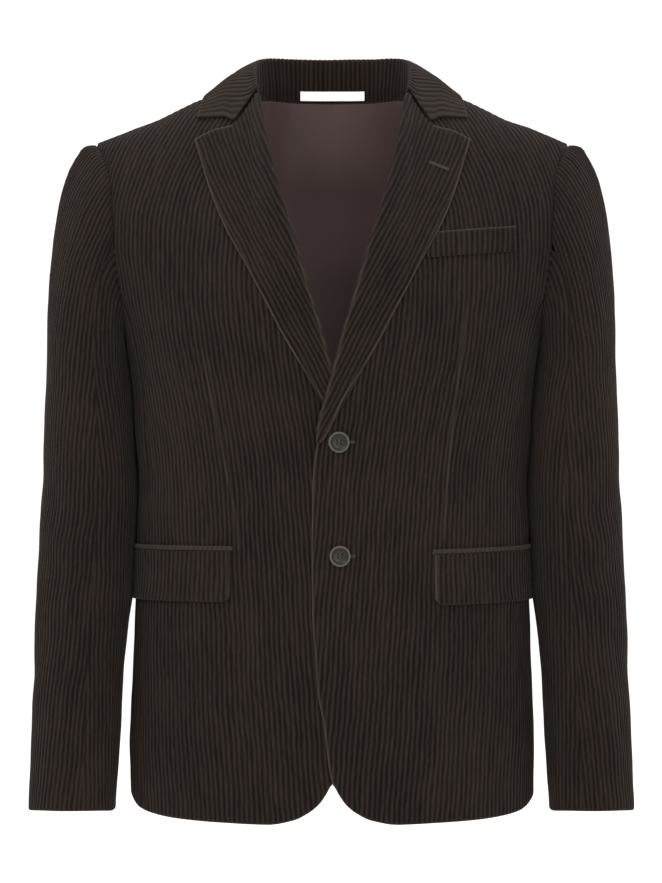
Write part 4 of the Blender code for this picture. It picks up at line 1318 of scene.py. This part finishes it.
class Lapel(Panel):
    """A facing turned out at the roll line. Its wales run along its outer edge."""

    roll = 6.5  # how far it runs round the rolled edge
    slant = 0.89  # across its outer edge, for each step across level

    def __init__(self, under):
        self.under = under
        self.levels = np.arange(LAPEL_FOOT, 2.01, 1.0)
        self.shift = leaned(LAPEL_LEAN, self.levels)
        self.inner, self.outer = track(EDGE, self.levels), track(LAPEL, self.levels)

    def x(self, c, z):
        return c + self.at(self.shift, z)

    def surface(self, c, z):
        z = np.clip(z, self.levels[0], self.levels[-1])
        x, inner, outer = self.x(c, z), self.at(self.inner, z), self.at(self.outer, z)
        share = np.clip((x - inner) / np.maximum(outer - inner, 3.0), 0, 1)
        out = WALL + LIE + 0.2 + 0.7 * (1 - share) ** 2
        flat = lifted(np.maximum(x, inner), z, out, self.under)
        past = np.clip(inner - x, 0, self.roll)
        base = lifted(inner, z, 0 * z, self.under)
        normal = unit(lifted(inner, z, 0 * z + 1.0, self.under) - base)
        along = unit(lifted(self.at(self.inner, z + 1), z + 1, 0 * z, self.under) - base)
        aside = np.cross(along, normal)
        aside = aside * np.where(aside[..., :1] > 0, -1, 1)
        places = (0.0, 2.2, 4.5, 6.5)
        high = np.interp(past, places, (3.9, 2.9, 0.6, -1.3))
        far = np.interp(past, places, (0.0, 2.0, 3.0, 2.6))
        rolled = base + normal * high[..., None] + aside * far[..., None]
        return np.where((x < inner)[..., None], rolled, flat)

    def outer_away(self, c, z):
        return (self.at(self.outer, z) - self.x(c, z)) * self.slant

    def top_away(self, c, z):
        x = self.x(c, z)
        slope = track(GORGE, x + 0.5) - track(GORGE, x - 0.5)
        return (track(GORGE, x) - z) / np.sqrt(1 + slope**2)

    def inside(self, c, z):
        roll = self.roll * (0.15 + 0.85 * smooth(LAPEL_FOOT, LAPEL_FOOT + 26, z))
        left = self.x(c, z) - (self.at(self.inner, z) - roll)
        return nearest(left, self.outer_away(c, z), self.top_away(c, z), z - LAPEL_FOOT + 0.001)

    def corners(self):
        left = (self.inner - self.roll - self.shift)[self.levels < -4]
        right = (self.outer - self.shift)[self.levels < -50]
        return [float(left.min()) + 0.3, float(right.max()) - 0.05]


def make_lapel(node, side, materials):
    lapel = Lapel(side < 0)

    def relief(c, z, base, ridge):
        outer, top = lapel.outer_away(c, z), lapel.top_away(c, z)
        x = lapel.x(c, z)
        seam = x < GORGE_X
        free = np.where(seam, outer, np.minimum(outer, top))
        total = ridge * (1 - 0.25 * bell(free, 4)) + 0.6 * drift(base, 13.0 + side)
        total += edge_roll(free, 1.3, 2.6) + 0.35 * bell(free - 4, 2.5)
        total += np.where(seam, seam_dip(top, 0.8, 2.0), 0)
        total += crease(x, z, ((40, -190), (74, -80)), 16, 0.8)
        if side > 0:
            away, _ = line_away(x, z, HOLES["lapel_buttonhole"][0])
            total += 0.5 * bell(away - 1.5, 0.8) - 0.7 * bell(away, 0.6)
        # Painted highlight along the free edges and, in the lower part, along the roll line.
        worn = 0.85 * highlight_line(free, 0.7, 0.9)
        roll = highlight_line(x - lapel.at(lapel.inner, z), -1.5, 1.3)
        worn += 0.55 * roll * (1 - smooth(-190, -110, z))
        return np.maximum(total, -1.3), worn

    return woven(
        node, side, (lapel.surface, lapel.inside, relief), ([], lapel.corners()), lapel.levels, 66,
        1, materials, bunch=0, back_deep=1.6, seed=side * 8.5)


# ---------------------------------------------------------------- pockets
FLAP_HIGH = 47.0


def pocket_line(table, z):
    """Body angles along a pocket, and the length to each."""
    turns = np.linspace(float(angle_at(table["front"], z)), math.radians(table["length_to"]), 120)
    return turns, lengths(body(turns, z))


def make_flap(node, side, materials):
    turns, arc = pocket_line(FLAP, -460.0)
    full, front_r, rear_r = float(arc[-1]), FLAP["round"], 5.0

    def tilt(c):
        return POCKET_TILT[side] * (1 - c / full)

    def foot(c):
        near, far = np.maximum(0, front_r - c), np.maximum(0, rear_r - (full - c))
        lift = front_r - np.sqrt(np.maximum(front_r**2 - near**2, 0))
        lift = lift + rear_r - np.sqrt(np.maximum(rear_r**2 - far**2, 0))
        return FLAP["foot"] - tilt(c) + lift

    def surface(c, z):
        low = (z - foot(c)) / FLAP_HIGH
        out = WALL + LIE + 1.9 * np.clip(1 - low, 0, 1) ** 2
        return raised(np.interp(c, arc, turns), z, out)

    def inside(c, z):
        return np.minimum(z - foot(c), FLAP["top"] - tilt(c) - z)

    def relief(c, z, base, ridge):
        free = nearest(z - foot(c), c, full - c)
        total = ridge * (1 - 0.3 * bell(free, 3)) + edge_roll(free, 1.3, 2.5)
        total += 0.4 * bell(free - 4, 2.5)
        total += 0.5 * np.sin(c * 0.045 + side) * np.clip((FLAP["top"] - z) / FLAP_HIGH, 0, 1)
        # The second value is a painted highlight along the edges, strongest along the front edge of
        # the wearer's left flap.
        return np.maximum(total, -1.3), 0.08 * highlight_line(free) + (0.7 if side > 0 else 0.2) * highlight_line(c)

    return woven(
        node, side, (surface, inside, relief), ([], [0.02, full - 0.02]),
        np.arange(-496, -430, 0.25), 18, 1, materials, bunch=0, back_deep=1.7, seed=side * 9.5)


def make_jet(node, side, materials):
    turns, arc = pocket_line(JET, -436.0)
    full = float(arc[-1])

    def surface(c, z):
        across = np.clip((z - (JET["low"] + JET["high"]) / 2) / 2.2, -1, 1)
        out = WALL + LIE - 0.8 + 1.3 * np.sqrt(1 - 0.97 * across**2)
        return raised(np.interp(c, arc, turns), z - POCKET_TILT[side] * (1 - c / full), out)

    def inside(c, z):
        return np.minimum(z - JET["low"], JET["high"] - z)

    def relief(c, z, base, ridge):
        # The whole jet takes an even painted highlight.
        return 0.35 * ridge + edge_roll(np.minimum(c, full - c), 0.8, 1.6), 0.4 + 0 * c

    return woven(
        node, side, (surface, inside, relief), ([], [0.02, full - 0.02]),
        np.arange(JET["low"], JET["high"] + 0.01, 0.1), 12, 1, materials, bunch=0, back_deep=1.2,
        seed=side * 10.5)


def make_welt(materials):
    """The welt of the chest pocket, running under the lapel."""
    def low_away(x, z):
        tilt = (WELT["z1"] - WELT["z0"]) * (x - 100) / (WELT["x1"] - 100)
        return z - (WELT["z0"] - WELT["high"] + tilt)

    def surface(c, z):
        return lifted(c, z, WALL + LIE + 0 * z)

    def inside(c, z):
        low = low_away(c, z)
        return nearest(low, WELT["high"] - low, c - (np.interp(z, LAPEL["z"], LAPEL["x"]) + 1.0))

    def relief(c, z, base, ridge):
        low = low_away(c, z)
        free = np.minimum(WELT["high"] - low, WELT["x1"] - c)
        total = ridge + edge_roll(free, 1.2, 2.2) + seam_dip(low, 0.8, 1.6)
        # The second value is a painted highlight along the welt's upper edge.
        return np.maximum(total, -1.3), 0.5 * highlight_line(WELT["high"] - low)

    return woven(
        "chest_welt", 1, (surface, inside, relief), ([], [88.0, WELT["x1"] - 0.02]),
        np.arange(-170, -130, 0.25), 14, 1, materials, bunch=0, back_deep=1.7, seed=11.5)


# ---------------------------------------------------------------- lining and label
def make_lining(node, side, materials):
    back = back_panel()

    def form(c, z):
        return body(turn_by_arc(c, z, True), z)

    def arc_limit(z):
        return back.at(back.out_arc - back.tuck, z) - LINING_SHORT

    def top(c, z):
        x = np.abs(form(c, z)[..., 0])
        return neck_or_ridge(x) - 5 * smooth(60, 84, x) - 0.8

    def surface(c, z):
        turn = turn_by_arc(c, z, True)
        up = body(turn, z + 0.5) - body(turn, z - 0.5)
        normal = unit(np.cross(form(c + 0.6, z) - form(c - 0.6, z), up))
        return body(turn, z) + normal * LINING_DEEP

    def inside(c, z):
        return nearest(z - LINING_FOOT, top(c, z) - z, arc_limit(z) - c, c + OVERLAP)

    def relief(c, z, base, ridge):
        fold = 0.35 * np.sin(c * 0.055 + 0.004 * z + side) + 0.4 * np.sin(c * 0.021 - 0.012 * z)
        fold += 0.8 * bell(c - 92 - 0.1 * z, 9.0)
        fold = fold * smooth(3, 40, c) + 0.14 * bell(c, 0.8)
        return -0.5 - np.clip(fold, -0.5, 1.1) * smooth(0, 30, top(c, z) - z), 0.0

    levels = back.levels[(back.levels >= LINING_FOOT) & (back.levels < -58)]
    return woven(
        node, side, (surface, inside, relief),
        narrowings(levels, 0 * levels - OVERLAP, arc_limit(levels)), back.levels, 84, 1, materials,
        top=top, back_deep=2.0, seed=side * 12.5, pitch=6.0, ribbed=False)


def make_label(materials):
    table = collar_table()
    half, low, high = LABEL["half"], LABEL["low"], LABEL["high"]
    xs = np.linspace(-half, half, 64)
    rows = []
    for z in np.linspace(low, high, 14):
        line = []
        for station in np.linspace(5, 15, 61):
            column = sample(table, station + np.zeros(21), np.arange(21.0))[1:17]
            line.append([np.interp(z, column[:, 2], column[:, k]) for k in (0, 1)])
        line = np.array(line)
        depth = np.interp(xs, line[:, 0], line[:, 1]) - LIE - 0.6
        rows.append(np.stack([xs, depth, z + 0 * xs], axis=-1))
    rows = np.array(rows)

    def surface(c, z):
        return sample(rows, (z - low) / (high - low) * 13, (c + half) / (2 * half) * 63)

    def inside(c, z):
        return np.minimum(z - low, high - z) + 0.001

    def relief(c, z, base, ridge):
        edge = nearest(z - low, high - z, half - np.abs(c))
        return 0.25 * np.clip(edge / 0.5, 0, 1) - 0.12 * bell(edge - 1.1, 0.25), 0.0

    return woven(
        "label", 1, (surface, inside, relief), ([], [-half, half]), np.linspace(low, high, 60), 20,
        1, materials, bunch=0, back_deep=0.5, seed=14.5, pitch=3.0, ribbed=False)


# ---------------------------------------------------------------- buttons and buttonholes
BUTTON_RINGS = (
    (0.0, 2.15), (2.8, 2.1), (5.2, 2.25), (6.3, 2.5), (6.9, 2.95), (7.5, 3.25), (8.2, 3.4),
    (8.9, 3.3), (9.5, 2.85), (9.85, 2.25), (9.98, 1.6), (9.7, 0.9), (9.0, 0.4), (8.0, 0.12),
    (6.8, 0.0), (0.0, 0.0),
)


HOLES = {  # the slit's ends (X, Z) and how far it stands out
    "lapel_buttonhole": (((90.5, -74.5), (108.5, -81.5)), 4.1),
    "buttonhole_upper": (((16.2, -336.5), (20.5, -336.5)), 0.4),
    "buttonhole_lower": (((17.2, -442.5), (21.2, -442.5)), 0.4),
}
HOLE_PLACE, HOLE_RADIUS = 2.1, 0.95  # of the four holes of a button
DISH_RADIUS = 8.3  # of the darker middle of a button; the rim outside it is painted lighter as a highlight
THREAD_RADIUS, STITCH_RADIUS = 0.25, 0.22


def frame_at(x, z, out):
    """Place and direction on the over front."""
    face, above = lifted(x, z, np.array(0.0)), lifted(x, z, np.array(1.0))
    normal = Vector(above - face).normalized()
    spin = normal.to_track_quat("Z", "Y").to_matrix().to_4x4()
    return Matrix.Translation((Vector(face) + normal * out) * MM) @ spin


def turned_disc(name, around=72):
    """A disc turned to the rings of a button."""
    shape = bmesh.new()
    rings = [
        [
            shape.verts.new((radius * math.cos(t) * MM, radius * math.sin(t) * MM, height * MM))
            for t in (2 * math.pi * k / around for k in range(around))
        ]
        for radius, height in BUTTON_RINGS[1:-1]
    ]
    for a, b in zip(rings, rings[1:], strict=False):
        for k in range(around):
            shape.faces.new((a[k], b[k], b[(k + 1) % around], a[(k + 1) % around]))
    shape.faces.new(rings[0])
    shape.faces.new(rings[-1][::-1])
    bmesh.ops.recalc_face_normals(shape, faces=shape.faces)
    mesh = bpy.data.meshes.new(name)
    shape.to_mesh(mesh)
    shape.free()
    return linked(name, mesh)


def make_button(name, x, z, materials, thread):
    obj = turned_disc(f"{name}_turned")
    cutters = []
    for k in range(4):
        turn = math.radians(45 + 90 * k)
        spot = (HOLE_PLACE * math.cos(turn) * MM, HOLE_PLACE * math.sin(turn) * MM, 1.5 * MM)
        bpy.ops.mesh.primitive_cylinder_add(
            vertices=24, radius=HOLE_RADIUS * MM, depth=12 * MM, location=spot)
        cutters.append(bpy.context.object)
        cut = obj.modifiers.new("hole", "BOOLEAN")
        cut.operation, cut.object = "DIFFERENCE", cutters[-1]
    bpy.context.view_layer.update()
    done = bpy.data.meshes.new_from_object(obj.evaluated_get(bpy.context.evaluated_depsgraph_get()))
    obj.modifiers.clear()
    obj.data = done
    for cutter in cutters:
        bpy.data.objects.remove(cutter)
    done.materials.clear()
    for material in materials:
        done.materials.append(material)
    for face in done.polygons:
        # The rim outside the dish takes the lighter horn, a painted highlight.
        face.material_index = 0 if face.center.xy.length > DISH_RADIUS * MM else 1
    place = frame_at(x, z, 0.5)
    done.transform(place)
    done.polygons.foreach_set("use_smooth", [True] * len(done.polygons))
    done.set_sharp_from_angle(angle=math.radians(38))
    lines = []  # the thread: two bars that dip into the holes
    for ends in ((45, 135), (225, 315)):
        spots = [
            Vector((HOLE_PLACE * math.cos(t), HOLE_PLACE * math.sin(t), 0))
            for t in map(math.radians, ends)
        ]
        for strand in (-1, 0, 1):
            line = []
            for t in np.linspace(0, 1, 9):
                p = spots[0].lerp(spots[1], float(t))
                p = Vector((p.x, p.y + 0.42 * strand, 1.0 + 1.45 * min(1.0, 6 * t, 6 * (1 - t))))
                line.append(tuple((place @ (p * MM)) / MM))
            lines.append(line)
    tubes(f"{name}_thread", lines, THREAD_RADIUS, thread).parent = obj
    return obj


def tubes(name, lines, radius, material, around=6):
    """Round threads along lines of points (mm), in one mesh."""
    points, faces = [], []
    turns = np.linspace(0, 2 * np.pi, around, endpoint=False)
    for line in lines:
        line = np.array(line, float)
        ahead = unit(np.gradient(line, axis=0))
        first = unit(np.cross(ahead, np.array([0.31, 0.87, 0.38])))
        second = np.cross(ahead, first)
        start = len(points)
        for at, a, b in zip(line, first, second, strict=True):
            points.extend(at + radius * (a * math.cos(t) + b * math.sin(t)) for t in turns)
        for ring_at in range(start, start + (len(line) - 1) * around, around):
            for k in range(around):
                a, b = ring_at + k, ring_at + (k + 1) % around
                faces.append((a, b, b + around, a + around))
        faces.append(tuple(range(start, start + around))[::-1])
        faces.append(tuple(range(len(points) - around, len(points))))
    mesh = bpy.data.meshes.new(name)
    mesh.from_pydata([tuple(p * MM) for p in points], [], faces)
    mesh.materials.append(material)
    mesh.shade_smooth()
    return linked(name, mesh)


def stitched_hole(name, ends, half, out, thread):
    """A worked buttonhole: an overcast rim of thread round a slit."""
    start, stop = (np.array(end) for end in ends)
    length = float(np.hypot(*(stop - start)))
    along = (stop - start) / length
    across = np.array([-along[1], along[0]])
    lines = []
    for side in (1, -1):
        for t in np.linspace(0, 1, int(length / 0.6) + 1):
            centre = start + along * length * t
            spots = [centre + across * side * reach for reach in (0.2, (0.2 + half) / 2, half)]
            lines.append([
                lifted(*spot, np.array(out + lift))
                for spot, lift in zip(spots, (0.1, 0.4, 0.0), strict=True)
            ])
    return tubes(name, lines, STITCH_RADIUS, thread, 5)


# ---------------------------------------------------------------- materials
class Shader:
    """A material and the nodes behind it, joined by calls that take numbers or sockets."""

    def __init__(self, name):
        self.material = bpy.data.materials.new(name)
        self.material.use_nodes = True
        self.tree = self.material.node_tree
        self.last = self.tree.nodes["Principled BSDF"]

    def give(self, socket, value):
        if isinstance(value, tuple):
            socket.default_value = (*value, 1)
        elif isinstance(value, (int, float)):
            socket.default_value = value
        else:
            self.tree.links.new(value, socket)

    def node(self, kind, *values, **named):
        """A new node, with values for its first sockets or for those named."""
        node = self.tree.nodes.new("ShaderNode" + kind)
        for socket, value in [*zip(node.inputs, values, strict=False),
                              *((node.inputs[key], value) for key, value in named.items())]:
            self.give(socket, value)
        return node

    def math(self, operation, *values, clamp=False):
        node = self.node("Math", *values)
        node.operation, node.use_clamp = operation, clamp
        return node.outputs[0]

    def times(self, a, b, clamp=False):
        return self.math("MULTIPLY", a, b, clamp=clamp)

    def plus(self, a, b, clamp=False):
        return self.math("ADD", a, b, clamp=clamp)

    def minus(self, a, b):
        return self.math("SUBTRACT", a, b)

    def swing(self, field, weight):
        """A field from 0 to 1, brought to swing about 0 by its weight."""
        return self.times(self.minus(field, 0.5), weight)

    def mix(self, factor, a, b):
        node = self.tree.nodes.new("ShaderNodeMix")
        node.data_type = "RGBA"
        for name, kind, value in (("Factor", "VALUE", factor), ("A", "RGBA", a), ("B", "RGBA", b)):
            self.give(next(s for s in node.inputs if (s.name, s.type) == (name, kind)), value)
        return next(s for s in node.outputs if s.type == "RGBA")

    def noise(self, vector, scale, detail=3.0, rough=0.5):
        return self.node(
            "TexNoise", Vector=vector, Scale=scale, Detail=detail, Roughness=rough).outputs["Fac"]

    def attribute(self, name):
        node = self.tree.nodes.new("ShaderNodeAttribute")
        node.attribute_name = name
        return node.outputs

    def cloth(self, across, along):
        """The cloth's own coordinates, and the same stretched across the wales and along them."""
        parts = self.node("SeparateXYZ", self.attribute("cloth")["Vector"]).outputs
        across, along = self.times(parts[0], across), self.times(parts[1], along)
        return parts, self.node("CombineXYZ", across, along, parts[2]).outputs[0]

    def place(self):
        return self.tree.nodes.new("ShaderNodeTexCoord").outputs["Object"]

    def done(self, colour, rough, specular=None, bump=None, sheen=None):
        """The material, with its bump (height, strength, distance) and sheen (weight and more)."""
        values = {"Base Color": colour, "Roughness": rough}
        if specular is not None:
            values["Specular IOR Level"] = specular
        for key, value in (sheen or {}).items():
            values["Sheen " + key] = value
        if bump:
            bump = dict(zip(("Height", "Strength", "Distance"), bump, strict=True))
            values["Normal"] = self.node("Bump", **bump).outputs[0]
        for key, value in values.items():
            self.give(self.last.inputs[key], value)
        return self.material


def corduroy():
    """Cut pile in wales: crests painted lighter as a highlight, grooves painted dark as shade,
    short fibres, brushed patches, and painted highlights along edges and folds.
    """
    s = Shader("corduroy")
    parts, fibres = s.cloth(15.0, 850.0)
    wobble = s.swing(s.noise(s.cloth(1.0, 110.0)[1], 1.0, 2.0, 0.6), 0.5)
    # The crests are painted lighter as a highlight and the grooves darker as painted shade.
    phase = s.math("FRACT", s.plus(parts[0], wobble))
    off = s.math("ABSOLUTE", s.minus(s.times(phase, 2.0), 1.0))
    crest = s.math("POWER", s.minus(1.0, off), 1.35)
    position = s.place()
    fine = s.noise(fibres, 1.0, 3.0, 0.65)
    run = s.noise(s.cloth(1.0, 26.0)[1], 1.0, 2.0, 0.5)
    patch = s.noise(position, 11.0, 3.0, 0.55)
    fleck = s.noise(position, 420.0, 2.0, 0.6)
    level = s.times(crest, s.plus(0.45, s.times(fine, 0.8)))
    for field, weight in ((run, 0.6), (patch, 0.5), (fleck, 0.3)):
        level = s.plus(level, s.swing(field, weight), clamp=field is fleck)
    # From painted groove shade, nearly black, to the crest colour.
    colour = s.mix(level, (0.0012, 0.0007, 0.0005), (0.0172, 0.0101, 0.0069))
    # Painted highlight: where the mesh says, the colour is mixed toward a lighter one.
    highlight_share = s.times(s.attribute("worn")["Fac"], s.plus(0.15, fine), clamp=True)
    colour = s.mix(highlight_share, colour, (0.05, 0.038, 0.028))
    sheen = {"Weight": 0.05, "Roughness": 0.45, "Tint": (0.9, 0.8, 0.72)}
    return s.done(colour, 0.92, 0.12, (s.plus(fine, s.times(fleck, 0.6)), 0.55, 0.00035), sheen)


def plain_weave(name, stretch, detail, dark, light, finish, bump):
    """Plain weave: the corduroy's back, and the label's tape."""
    s = Shader(name)
    grain = s.noise(s.cloth(*stretch)[1], 1.0, *detail)
    return s.done(s.mix(grain, dark, light), *finish, (grain, *bump))


def lining_cloth():
    """Smooth twill with fine diagonal lines and a soft sheen."""
    s = Shader("lining")
    parts = s.node("SeparateXYZ", s.attribute("cloth")["Vector"]).outputs
    across, along = s.times(parts[0], 15.0), s.times(parts[1], 2500.0)
    diagonal = s.math("SINE", s.times(s.plus(across, along), 3.1416))
    position = s.place()
    patch, thread = s.noise(position, 9.0, 3.0, 0.5), s.noise(position, 700.0, 2.0, 0.6)
    level = s.plus(s.plus(s.times(diagonal, 0.1), patch), s.swing(thread, 0.3), clamp=True)
    colour = s.mix(level, (0.045, 0.0262, 0.0244), (0.066, 0.0389, 0.0361))
    return s.done(colour, 0.5, 0.2, (diagonal, 0.25, 0.00012), {"Weight": 0.08})


def horn(name, dark, light):
    """Clouded horn."""
    s = Shader(name)
    position = s.place()
    cloud, streak = s.noise(position, 130.0, 4.0, 0.6), s.noise(position, 520.0, 3.0, 0.6)
    level = s.plus(s.times(cloud, 0.75), s.times(streak, 0.35), clamp=True)
    return s.done(s.mix(level, dark, light), 0.33, 0.12)


def thread_material(name, dark, light):
    s = Shader(name)
    return s.done(s.mix(s.noise(s.place(), 1800.0, 2.0, 0.6), dark, light), 0.7)


# ---------------------------------------------------------------- stage
FLOOR = -0.86  # m, below the hem and clear of it


def make_stage():
    scene = bpy.context.scene
    world = bpy.data.worlds.new("studio")
    scene.world = world
    world.use_nodes = True
    background = world.node_tree.nodes["Background"]
    background.inputs["Color"].default_value = (1, 1, 1, 1)
    background.inputs["Strength"].default_value = 1.12
    scene.view_settings.view_transform = "Standard"
    mesh = bpy.data.meshes.new("floor")
    corners = ((-9, -9, FLOOR), (9, -9, FLOOR), (9, 9, FLOOR), (-9, 9, FLOOR))
    mesh.from_pydata(corners, [], [(0, 1, 2, 3)])
    mesh.materials.append(Shader("floor").done((0.93, 0.93, 0.93), 0.8))
    linked("floor", mesh)
    for name, place, power, size in (
        ("key", (-1.5, -2.6, 1.5), 52, 1.3),
        ("fill", (0.7, -3.0, 0.1), 50, 1.6),
        ("top", (0.1, 0.1, 2.1), 34, 1.4),
    ):
        data = bpy.data.lights.new(name, "AREA")
        data.energy, data.size = power, size
        light = linked(name, data)
        light.location = place
        toward = Vector((0, 0, -0.35)) - Vector(place)
        light.rotation_euler = toward.to_track_quat("-Z", "Y").to_euler()
    data = bpy.data.cameras.new("camera")
    data.sensor_fit, data.sensor_width, data.lens = "AUTO", 36, 135.6
    data.clip_end = 50
    scene.camera = linked("camera", data)
    scene.camera.location = (-0.0014, -3.2, -0.336)
    scene.camera.rotation_euler = (math.pi / 2, 0, 0)


# ---------------------------------------------------------------- putting it together
# What shows of each cut: its greatest width and length and its flat area (m), how it is held,
# and on what.
CUTS = {
    "front": ((0.250, 0.735), 0.136, "hung", ("back",)),
    "back": ((0.232, 0.700), 0.141, "hung", ("collar",)),
    "side": ((0.092, 0.505), 0.0418, "hung", ("back", "front")),
    "sleeve_top": ((0.218, 0.640), 0.119, "hung", ("front", "back")),
    "sleeve_under": ((0.135, 0.531), 0.0595, "hung", ("front", "back")),
    "collar": ((0.098, 0.385), 0.030, "folded", ("back_left", "back_right")),
    "lapel": ((0.075, 0.370), 0.0176, "laid", ("front",)),
    "flap": ((0.152, 0.047), 0.0070, "laid", ("front",)),
    "chest_welt": ((0.096, 0.024), 0.0021, "laid", ("front_left",)),
    "lining": ((0.220, 0.660), 0.133, "hung", ("back",)),
}


def declare_sheets(pieces, holes):
    belonging = {
        "front_left": [pieces["jet_left"], holes["buttonhole_upper"], holes["buttonhole_lower"]],
        "front_right": [pieces["jet_right"]],
        "lapel_left": [holes["lapel_buttonhole"]],
        "collar": [pieces["label"]],
    }
    for node, piece in pieces.items():
        kind, _, side = node.rpartition("_")
        if node in CUTS:
            kind, side = node, ""
        if kind not in CUTS:
            continue
        more = belonging.get(node, [])
        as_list(more)


def main():
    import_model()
    for obj in list(bpy.data.objects):
        if obj.name in ("Cube", "Light", "Camera"):
            bpy.data.objects.remove(obj, do_unlink=True)
    make_stage()
    cloth = [
        corduroy(),
        plain_weave("corduroy_back", (12.0, 2500.0), (2.0, 0.6), (0.007, 0.0055, 0.0048),
                    (0.016, 0.0125, 0.0105), (0.95, 0.2), (0.4, 0.0002)),
    ]
    tape = plain_weave("label_tape", (8.0, 2600.0), (1.0, 0.5), (0.72, 0.72, 0.71),
                       (0.86, 0.86, 0.85), (0.7, 0.3), (0.3, 0.0001))
    pieces = {
        **pairs(cloth, front=make_front, back=make_back),
        **pairs(cloth, side=make_side),
        **pairs(cloth, sleeve_top=make_top_sleeve, sleeve_under=make_under_sleeve),
        "collar": make_collar(cloth),
        **pairs(cloth, lapel=make_lapel),
        **pairs(cloth, flap=make_flap, jet=make_jet),
        "chest_welt": make_welt(cloth),
        **pairs([lining_cloth()], lining=make_lining),
        "label": make_label([tape]),
    }
    thread = thread_material("thread", (0.012, 0.009, 0.007), (0.035, 0.027, 0.02))
    button = [
        # The rim's horn is painted lighter as a highlight; the dish keeps the darker horn.
        horn("horn_rim", (0.028, 0.025, 0.019), (0.07, 0.063, 0.049)),
        horn("horn_dish", (0.004, 0.0034, 0.0027), (0.018, 0.0156, 0.0114)),
    ]
    for name, (x, z) in BUTTONS.items():
        pieces[name] = make_button(name, x, z, button, thread)
    for node, obj in pieces.items():
        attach(obj, "root")
        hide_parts(node)
    tan = thread_material("buttonhole_thread", (0.017, 0.014, 0.011), (0.05, 0.042, 0.034))
    holes = {}
    for name, (ends, out) in HOLES.items():
        holes[name] = stitched_hole(name, ends, 1.3, out, tan)
        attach(holes[name], "root")
    declare_sheets(pieces, holes)


main()
